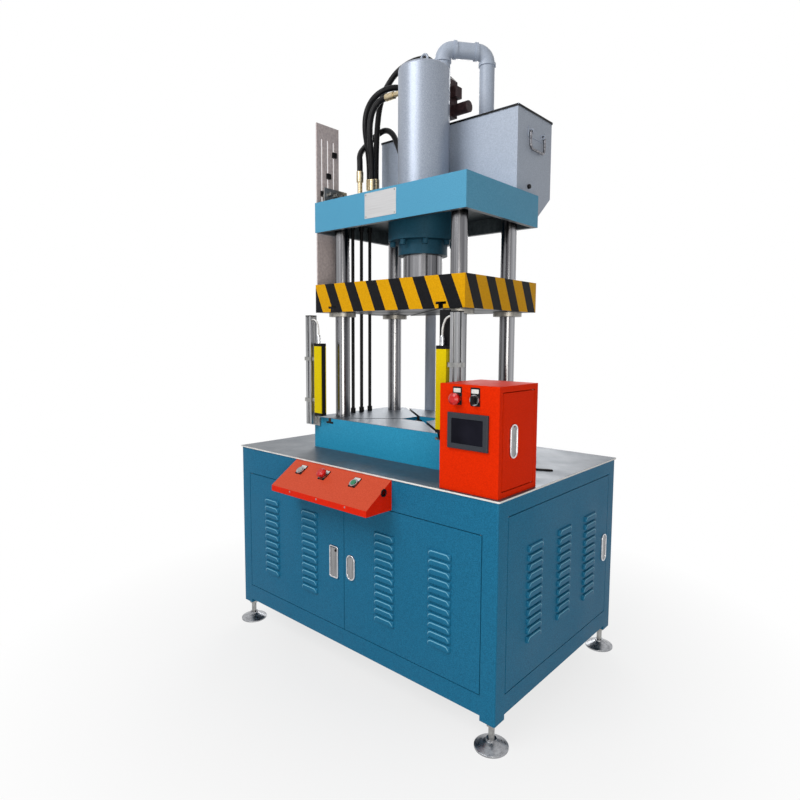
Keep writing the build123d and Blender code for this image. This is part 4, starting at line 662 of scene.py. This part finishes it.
CROWN_FACE = -0.2215 + Y_SHIFT
PLATE_MIDDLE = (-0.0265, 1.800)
PLATE_SIZE = (0.169, 0.098)
RIVET = 0.007
plate_metal, tree, shader, place = blank_finish("plate_aluminium")
brush = noise(tree, place, 400.0, 3.0, (0.02, 1, 1))
tree.links.new(tinted(tree, brush, (0.46, 0.46, 0.47), (0.54, 0.54, 0.55)), shader.inputs["Base Color"])
varied(tree, shader, brush, 0.42, 0.55)
shader.inputs["Metallic"].default_value = 0.6
plate_origin = (PLATE_MIDDLE[0], CROWN_FACE, PLATE_MIDDLE[1])
plate = set_on(raised_plate(*PLATE_SIZE, 0.003, 0.0012, 0.0004), plate_origin, *FACING_FRONT)
place_piece("crown_plate", sheet_mesh("crown_plate", plate, closed=True), plate_metal, "frame")
rivet_x, rivet_z = np.meshgrid([-1, 1], [-1, 1])
corners = np.stack([rivet_x * 0.077, rivet_z * 0.042, np.zeros((2, 2))], axis=-1).reshape(-1, 1, 1, 3)
rivets = set_on(raised_plate(RIVET, RIVET, RIVET / 2, 0.0026, 0.0012, 16) + corners, plate_origin, *FACING_FRONT)
place_piece("crown_plate_rivets", sheet_mesh("crown_plate_rivets", rivets, closed=True), zinc, "frame")


# Columns and piston rod: ground steel bars with hard chrome, with the room's reflections painted into their colour
# as dark and light upright streaks. The nuts at their ends sit in counterbores of the crown.
# The dark and light upright streaks in the columns' and rod's colour are painted reflections.
column_chrome_painted_reflections = bright_metal("column_chrome_painted_reflections", (0.050, 0.050, 0.056), (0.36, 0.36, 0.375), 0.16, (1, 1, 0.004), 62.0)
finish_node("columns", column_chrome_painted_reflections)
finish_node("piston_rod", column_chrome_painted_reflections)
finish_node("column_nuts", zinc, 0.0008)


# Cylinder: a seamless tube with a welded cap, sprayed in silver-grey, on a turned flange that hangs under
# the crown with its gland ring and a circle of bolts, all in the press's blue, painted darker as the shade under the
# crown.
silver_paint = sprayed_paint("silver_paint", (0.335, 0.385, 0.475), (0.445, 0.500, 0.600), 260.0, 0.0003, 0.36, 0.3)
barrel_silver, tree, shader, place = blank_finish("barrel_silver")
grains = noise(tree, place, 260.0, 3.0)
tree.links.new(tinted(tree, grains, (0.245, 0.280, 0.345), (0.345, 0.385, 0.460)), shader.inputs["Base Color"])
raised(tree, shader, grains, 0.0003)
varied(tree, shader, noise(tree, place, 20.0, 3.0, (1, 1, 0.05)), 0.30, 0.44)
shader.inputs["Metallic"].default_value = 0.35
finish_node("cylinder_barrel", barrel_silver)
for name in ("cylinder_flange", "gland_ring", "flange_bolts"):
    finish_node(name, painted_shade_blue, 0.001)


# Slide: a heavy block with hazard stripes sprayed round its sides, bare ground faces with T-slots under
# it, painted near black as the shade under the slide, and flanged bushes that run on the columns.
STRIPE_PERIOD = 0.1242
STRIPE_LEAN = 0.445
STRIPE_START = 0.0763
YELLOW_SHARE = 0.53
SLIDE_HALF = (0.401, 0.247)
hazard, tree, shader, place = blank_finish("hazard_stripes")
axes = tree.nodes.new("ShaderNodeSeparateXYZ")
tree.links.new(place, axes.inputs[0])
around = tree.nodes.new("ShaderNodeMath")
around.operation = "ADD"
tree.links.new(axes.outputs["X"], around.inputs[0])
tree.links.new(axes.outputs["Y"], around.inputs[1])
leaning = tree.nodes.new("ShaderNodeMath")
leaning.operation = "MULTIPLY_ADD"
leaning.inputs[1].default_value = STRIPE_LEAN
tree.links.new(axes.outputs["Z"], leaning.inputs[0])
tree.links.new(around.outputs[0], leaning.inputs[2])
turns = tree.nodes.new("ShaderNodeMapRange")
turns.clamp = False
turns.inputs["From Min"].default_value = STRIPE_START
turns.inputs["From Max"].default_value = STRIPE_START + STRIPE_PERIOD
tree.links.new(leaning.outputs[0], turns.inputs["Value"])
part_turn = tree.nodes.new("ShaderNodeMath")
part_turn.operation = "FRACT"
tree.links.new(turns.outputs[0], part_turn.inputs[0])
dark = tree.nodes.new("ShaderNodeMath")
dark.operation = "GREATER_THAN"
dark.inputs[1].default_value = YELLOW_SHARE
tree.links.new(part_turn.outputs[0], dark.inputs[0])
yellow = tinted(tree, noise(tree, place, 240.0), (0.58, 0.280, 0.001), (0.70, 0.360, 0.003))
black = tinted(tree, noise(tree, place, 240.0), (0.004, 0.004, 0.005), (0.010, 0.010, 0.012))
cuts = noise(tree, place, 40.0, 4.0, (1, 12, 1))
# The bare steel faces inside the block's outline are painted near black as the shade under the slide, darker than
# ground steel.
bare_steel_painted_shade = tinted(tree, cuts, (0.010, 0.011, 0.013), (0.022, 0.023, 0.027))
bare = masked(tree, place, SLIDE_HALF[0] - SKIN, SLIDE_HALF[1] - SKIN)
stripes = chosen(tree, dark.outputs[0], yellow, black)
tree.links.new(chosen(tree, bare, stripes, bare_steel_painted_shade), shader.inputs["Base Color"])
tree.links.new(scaled(tree, bare, 0.7), shader.inputs["Metallic"])
varied(tree, shader, noise(tree, place, 6.0), 0.34, 0.46)
shader.inputs["Specular IOR Level"].default_value = 0.08
finish_node("slide_block", hazard, 0.0008)
bronze = bright_metal("pale_bronze", (0.22, 0.21, 0.19), (0.36, 0.345, 0.315), 0.34, (1, 1, 1), 80.0)
finish_node("guide_bushes", bronze, 0.001)


# Trip gear: a slotted plate on the slide with black dogs clamped in its slots, which pass the switches
# on a small angle bracket on the crown.
trip_grey = sprayed_paint("trip_grey", (0.44, 0.375, 0.380), (0.60, 0.530, 0.520), 90.0, 0.0002, 0.42, 0.2)
gun_black = sprayed_paint("gun_black", (0.004, 0.004, 0.005), (0.010, 0.010, 0.011), 200.0, 0.0002, 0.4, 0.14)
finish_node("trip_plate", trip_grey, 0.0006)
finish_node("trip_dogs", gun_black, 0.0006)
finish_node("switch_bracket", zinc, 0.0006)


# Oil tank: folded sheet, welded and sprayed in the cylinder's silver-grey. Its loose lid wears a black
# rubber edging, and a chromed drop handle and a black plug sit on its right side.
for name in ("oil_tank", "tank_lid"):
    finish_node(name, silver_paint)
handle_steel = bright_metal("handle_steel", (0.10, 0.10, 0.11), (0.26, 0.26, 0.28), 0.24, (1, 1, 1), 90.0)
finish_node("tank_handle", handle_steel)


def edging_band(low, high, proud):
    """A band round a box: its outline a little outside it, at its foot and at its head, folded in over both."""
    size = high - low
    path, outward = outline(size[0] + 2 * proud, size[1] + 2 * proud, 0.004, 48)
    middle = np.array([(low[0] + high[0]) / 2, (low[1] + high[1]) / 2, 0])
    lift = np.array([0, 0, 1])
    inner = path - outward * 2 * proud
    rows = (inner + lift * high[2], path + lift * high[2], path + lift * low[2], inner + lift * low[2])
    return np.stack(rows) + middle


EDGING_LAP = 0.003
EDGING_BELOW_LID = 0.001
EDGING_PROUD = 0.0005
tank_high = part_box("oil_tank")[1]
lid_low, lid_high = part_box("tank_lid")
band_low = np.array([*lid_low[:2], tank_high[2] - EDGING_LAP])
band_high = np.array([*lid_high[:2], lid_high[2] - EDGING_BELOW_LID])
band = edging_band(band_low, band_high, EDGING_PROUD)
place_piece("lid_edging", sheet_mesh("lid_edging", band, closed=True), black_plastic, "frame")
PLUG = 0.018
plug = set_on(raised_plate(PLUG, PLUG, PLUG / 2, 0.010, 0.002), (tank_high[0], 0.214 + Y_SHIFT, 1.885), *FACING_RIGHT)
place_piece("tank_plug", sheet_mesh("tank_plug", plug, closed=True), black_plastic, "frame")


# Pipes and valve: welded elbows from the valve block over to the tank, thin black risers to the crown,
# and the thick suction pipe behind the bed.
finish_node("fill_pipe", silver_paint)
finish_node("suction_pipe", silver_paint)
finish_node("riser_pipes", gun_black)
valve_brown = sprayed_paint("valve_brown", (0.020, 0.011, 0.012), (0.060, 0.030, 0.031), 60.0, 0.0003, 0.4, 0.2)
finish_node("valve_block", valve_brown, 0.001)


# Hoses: black rubber with steel braid inside, stiff enough to stand in arches, from turned fittings
# on the crown to the cylinder and its valve block.
HOSE_ROUTES = {
    "hose_1": [
        (-0.346, -0.022, 2.018),
        (-0.346, -0.022, 2.056),
        (-0.361, -0.010, 2.096),
        (-0.374, 0.026, 2.134),
        (-0.377, 0.074, 2.178),
        (-0.371, 0.114, 2.219),
        (-0.340, 0.136, 2.240),
        (-0.290, 0.130, 2.212),
        (-0.246, 0.112, 2.156),
        (-0.210, 0.106, 2.084),
        (-0.176, 0.106, 2.014),
        (-0.144, 0.107, 1.962),
        (-0.144, 0.107, 1.920),
    ],
    "hose_2": [
        (-0.346, 0.038, 1.995),
        (-0.346, 0.038, 2.060),
        (-0.346, 0.026, 2.132),
        (-0.346, 0.008, 2.210),
        (-0.344, 0.014, 2.285),
        (-0.328, 0.040, 2.346),
        (-0.284, 0.060, 2.376),
        (-0.244, 0.092, 2.389),
        (-0.216, 0.123, 2.384),
        (-0.192, 0.144, 2.374),
        (-0.168, 0.152, 2.368),
        (-0.146, 0.152, 2.368),
    ],
    "hose_3": [
        (-0.300, 0.008, 1.981),
        (-0.300, 0.008, 2.046),
        (-0.300, -0.002, 2.120),
        (-0.300, -0.008, 2.196),
        (-0.298, 0.000, 2.252),
        (-0.290, 0.012, 2.290),
        (-0.272, 0.021, 2.312),
        (-0.250, 0.0255, 2.320),
        (-0.230, 0.0255, 2.320),
    ],
    "hose_4": [
        (-0.346, 0.079, 2.004),
        (-0.346, 0.079, 2.078),
        (-0.347, 0.083, 2.160),
        (-0.345, 0.087, 2.242),
        (-0.335, 0.091, 2.326),
        (-0.315, 0.099, 2.386),
        (-0.290, 0.112, 2.432),
        (-0.261, 0.131, 2.474),
        (-0.212, 0.153, 2.504),
        (-0.162, 0.171, 2.513),
        (-0.128, 0.181, 2.506),
        (-0.107, 0.186, 2.488),
        (-0.098, 0.188, 2.466),
        (-0.098, 0.188, 2.446),
    ],
}
HOSE_DIAMETER = 0.026
hose_rubber, tree, shader, place = blank_finish("hose_rubber")
tree.links.new(
    tinted(tree, noise(tree, place, 120.0, 3.0), (0.002, 0.002, 0.003), (0.006, 0.006, 0.007)),
    shader.inputs["Base Color"],
)
raised(tree, shader, noise(tree, place, 900.0, 1.0), 0.0004)
varied(tree, shader, noise(tree, place, 40.0), 0.30, 0.45)
shader.inputs["Specular IOR Level"].default_value = 0.14
for name, route in HOSE_ROUTES.items():
    line = bpy.data.curves.new(name + "_rubber", "CURVE")
    line.dimensions = "3D"
    line.bevel_depth = HOSE_DIAMETER / 2
    line.bevel_resolution = 6
    line.resolution_u = 10
    line.use_fill_caps = True
    spline = line.splines.new("NURBS")
    spline.points.add(len(route) - 1)
    spline.points.foreach_set("co", np.array([(x, y + Y_SHIFT, z, 1) for x, y, z in route]).ravel())
    spline.order_u = 3
    spline.use_endpoint_u = True
    hose = bpy.data.objects.new(name + "_rubber", line)
    scene.collection.objects.link(hose)
    line.materials.append(hose_rubber)
    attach(hose, "frame")
    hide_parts(name)
brass = bright_metal("pale_brass", (0.32, 0.25, 0.14), (0.70, 0.60, 0.41), 0.26, (1, 1, 6), 70.0)
finish_node("hose_fittings", brass, 0.0006)


# Light curtains: extruded aluminium posts on bolted feet, with black caps pushed into their tops and yellow
# housings clamped to them. The housings have black end caps and windows, and short white leads in plugs
# with chromed sleeves.
anodised = bright_metal("anodised", (0.20, 0.205, 0.215), (0.44, 0.445, 0.455), 0.30, (1, 1, 0.02), 120.0)
yellow_coat = sprayed_paint("yellow_coat", (0.62, 0.48, 0.001), (0.73, 0.57, 0.003), 200.0, 0.0001, 0.36, 0.08)
white_plastic = sprayed_paint("white_plastic", (0.60, 0.60, 0.59), (0.70, 0.70, 0.69), 120.0, 0.0001, 0.35, 0.4)
finish_node("curtain_posts", anodised, 0.001)
finish_node("curtain_brackets", zinc, 0.0005)
finish_node("curtain_housings", yellow_coat, 0.001)
finish_node("curtain_caps", black_plastic, 0.0006)
finish_node("curtain_cables", white_plastic)

CURTAIN_MIDDLE = -0.2065
POST_OUT = 0.393
POST_CAP = 0.036
POST_TOP = 1.372
post_places = np.array([(PRESS_X + side * POST_OUT, CURTAIN_MIDDLE, POST_TOP) for side in (-1, 1)])[:, None, None, :]
caps = set_on(raised_plate(POST_CAP, POST_CAP, 0.003, 0.004, 0.001), post_places, *FACING_UP)
place_piece("post_caps", sheet_mesh("post_caps", caps, closed=True), black_plastic, "frame")


def turned_sleeve(profile):
    """A turned sleeve: pairs of radius and height, from the top inwards edge down, swept clockwise."""
    turn = -2 * np.pi * np.arange(24) / 24
    ring = np.stack([np.cos(turn), np.sin(turn), np.zeros(24)], axis=-1)
    radius, height = np.array(profile).T
    return radius[:, None, None] * ring + height[:, None, None] * np.array([0, 0, 1])


SLEEVE_PROFILE = (
    (0.0036, 0.0348),
    (0.0070, 0.0348),
    (0.0074, 0.0342),
    (0.0074, 0.0265),
    (0.0088, 0.0258),
    (0.0088, 0.0190),
    (0.0074, 0.0182),
    (0.0074, 0.0130),
    (0.0088, 0.0122),
    (0.0088, 0.0045),
    (0.0074, 0.0038),
    (0.0074, 0.0002),
)
HOUSING_TOP = 1.256
HOUSING_OUT = 0.335
PLUG_Y = -0.2135
sleeve_places = np.array([(PRESS_X + side * HOUSING_OUT, PLUG_Y, HOUSING_TOP) for side in (-1, 1)])[:, None, None, :]
sleeves = turned_sleeve(SLEEVE_PROFILE) + sleeve_places
place_piece("plug_sleeves", sheet_mesh("plug_sleeves", sleeves, closed=True), chrome, "frame")


# Two-hand console: folded sheet, sprayed in orange-red and screwed to the cabinet. Its buttons have chromed
# rings and blank tags, small screws hold its lip, and a rubber ring lines its cable hole.
SLOPE_LOOKS_UP = 0.5
console_finish, tree, shader, place = blank_finish("console_orange")
grains = noise(tree, place, 240.0, 3.0)
plain = tinted(tree, grains, (0.60, 0.012, 0.0006), (0.72, 0.018, 0.0010))
# Faces that look up are painted paler and pinker as the sheen of light reflected off the slope.
painted_top_sheen = tinted(tree, grains, (0.54, 0.064, 0.026), (0.64, 0.088, 0.040))
tree.links.new(chosen(tree, looking_up(tree, SLOPE_LOOKS_UP), plain, painted_top_sheen), shader.inputs["Base Color"])
raised(tree, shader, noise(tree, place, 170.0, 1.0), 0.0002)
varied(tree, shader, noise(tree, place, 5.0), 0.34, 0.44)
shader.inputs["Specular IOR Level"].default_value = 0.08
finish_node("console_body", console_finish)
bezel_chrome = bright_metal("bezel_chrome", (0.22, 0.22, 0.23), (0.52, 0.52, 0.54), 0.18, (1, 1, 1), 220.0)
finish_node("control_bezels", bezel_chrome)
red_plastic = sprayed_paint("red_plastic", (0.44, 0.005, 0.005), (0.58, 0.010, 0.009), 90.0, 0.0001, 0.22, 0.4)
green_plastic = sprayed_paint("green_plastic", (0.010, 0.17, 0.08), (0.018, 0.26, 0.12), 90.0, 0.0001, 0.22, 0.4)
pale_lens = sprayed_paint("pale_lens", (0.26, 0.29, 0.275), (0.36, 0.39, 0.375), 90.0, 0.0001, 0.22, 0.4)
finish_node("console_button_left", pale_lens)
finish_node("console_button_right", green_plastic)
finish_node("console_stop", red_plastic, 0.001)

CONSOLE_SLOPE = ((1, 0, 0), (0, 0.826, 0.564))
CONSOLE_BUTTON_X = (-0.204, -0.070, 0.097)
CONSOLE_BUTTON_Y = -0.478 + Y_SHIFT
CONSOLE_BUTTON_Z = 0.7636
CONSOLE_LIP = -0.558 + Y_SHIFT
CONSOLE_END = 0.240
TAG_THICK = 0.0025
FIELD_THICK = 0.0005


def tags(tag_size, tag_rise, field_size, field_rise):
    """The points of a blank tag behind a control, and of the pale field on its upper part."""
    tag = raised_plate(*tag_size, 0.003, TAG_THICK, 0.0006) + np.array([0, tag_rise, 0])
    field = raised_plate(*field_size, 0.001, FIELD_THICK, 0.0002) + np.array([0, field_rise, TAG_THICK])
    return tag, field


tag, field = tags((0.035, 0.046), 0.005, (0.029, 0.014), 0.0195)
slope_places = np.array([(x, CONSOLE_BUTTON_Y, CONSOLE_BUTTON_Z) for x in CONSOLE_BUTTON_X])[:, None, None, :]
for name, points, finish, slot in (
    ("console_tags", tag, black_plastic, "black_plastic"),
    ("console_tag_fields", field, white_plastic, "white_plastic"),
):
    mesh = sheet_mesh(name, set_on(points, slope_places, *CONSOLE_SLOPE), closed=True)
    place_piece(name, mesh, finish, "frame")
SCREW = 0.0065
SCREW_PROUD = 0.0003
screw_places = np.array([(x, CONSOLE_LIP, 0.702) for x in (-0.171, -0.017, 0.134)])[:, None, None, :]
screws = set_on(raised_plate(SCREW, SCREW, SCREW / 2, SCREW_PROUD, SCREW_PROUD / 2, 16), screw_places, *FACING_FRONT)
place_piece("console_screws", sheet_mesh("console_screws", screws, closed=True), zinc, "frame")
HOLE_RING = 0.023
ring_origin = (CONSOLE_END, -0.475 + Y_SHIFT, 0.755)
ring = set_on(swept_rim(HOLE_RING, HOLE_RING, HOLE_RING / 2, 0.005, 0.0025), ring_origin, *FACING_RIGHT)
ring_mesh = sheet_mesh("cable_hole_ring", ring, closed=True)
place_piece("cable_hole_ring", ring_mesh, black_plastic, "frame")


# Control box: folded sheet in the same orange-red, with a hinged side door. A mushroom button and a selector
# stand on blank tags over a touch screen in a dark frame, and its wires go down a rubber-edged slot.
orange = sprayed_paint("orange_red", (0.60, 0.018, 0.0008), (0.72, 0.026, 0.0014), 240.0, 0.0002, 0.40, 0.03)
finish_node("control_box", orange, 0.0008)
finish_node("box_door", orange)
dark_frame = sprayed_paint("screen_grey", (0.026, 0.030, 0.038), (0.040, 0.045, 0.055), 400.0, 0.0002, 0.4, 0.14)
screen, tree, shader, place = blank_finish("dark_screen")
tree.links.new(
    tinted(tree, noise(tree, place, 14.0), (0.003, 0.003, 0.007), (0.008, 0.008, 0.015)),
    shader.inputs["Base Color"],
)
varied(tree, shader, noise(tree, place, 30.0), 0.08, 0.14)
shader.inputs["Specular IOR Level"].default_value = 0.06
finish_node("box_button", red_plastic, 0.0008)
finish_node("box_selector", black_plastic, 0.0008)
finish_node("screen_frame", dark_frame, 0.0006)
finish_node("screen_glass", screen)
BOX_FACE = -0.426 + Y_SHIFT
BOX_CONTROL_X = (0.511, 0.579)
BOX_CONTROL_Z = 1.095
box_places = np.array([(x, BOX_FACE, BOX_CONTROL_Z) for x in BOX_CONTROL_X])[:, None, None, :]
tag, field = tags((0.034, 0.057), 0.009, (0.027, 0.013), 0.026)
for name, points, finish, slot in (
    ("box_tags", tag, black_plastic, "black_plastic"),
    ("box_tag_fields", field, white_plastic, "white_plastic"),
):
    mesh = sheet_mesh(name, set_on(points, box_places, *FACING_FRONT), closed=True)
    place_piece(name, mesh, finish, "frame")
CABINET_TOP = 0.800
SLOT_TURN = math.radians(25.7)
slot_right = (math.cos(SLOT_TURN), math.sin(SLOT_TURN), 0)
slot_up = (-math.sin(SLOT_TURN), math.cos(SLOT_TURN), 0)
slot_origin = (0.574, 0.027 + Y_SHIFT, CABINET_TOP)
edging = set_on(raised_plate(0.064, 0.014, 0.007, 0.006, 0.003), slot_origin, slot_right, slot_up)
edging_mesh = sheet_mesh("cable_slot_edging", edging, closed=True)
place_piece("cable_slot_edging", edging_mesh, black_plastic, "frame")


# Power unit: a motor with its bell housing and pump, bolted to the cabinet floor and out of sight
# until a door opens.
finish_node("motor_pump", gun_black, 0.002)
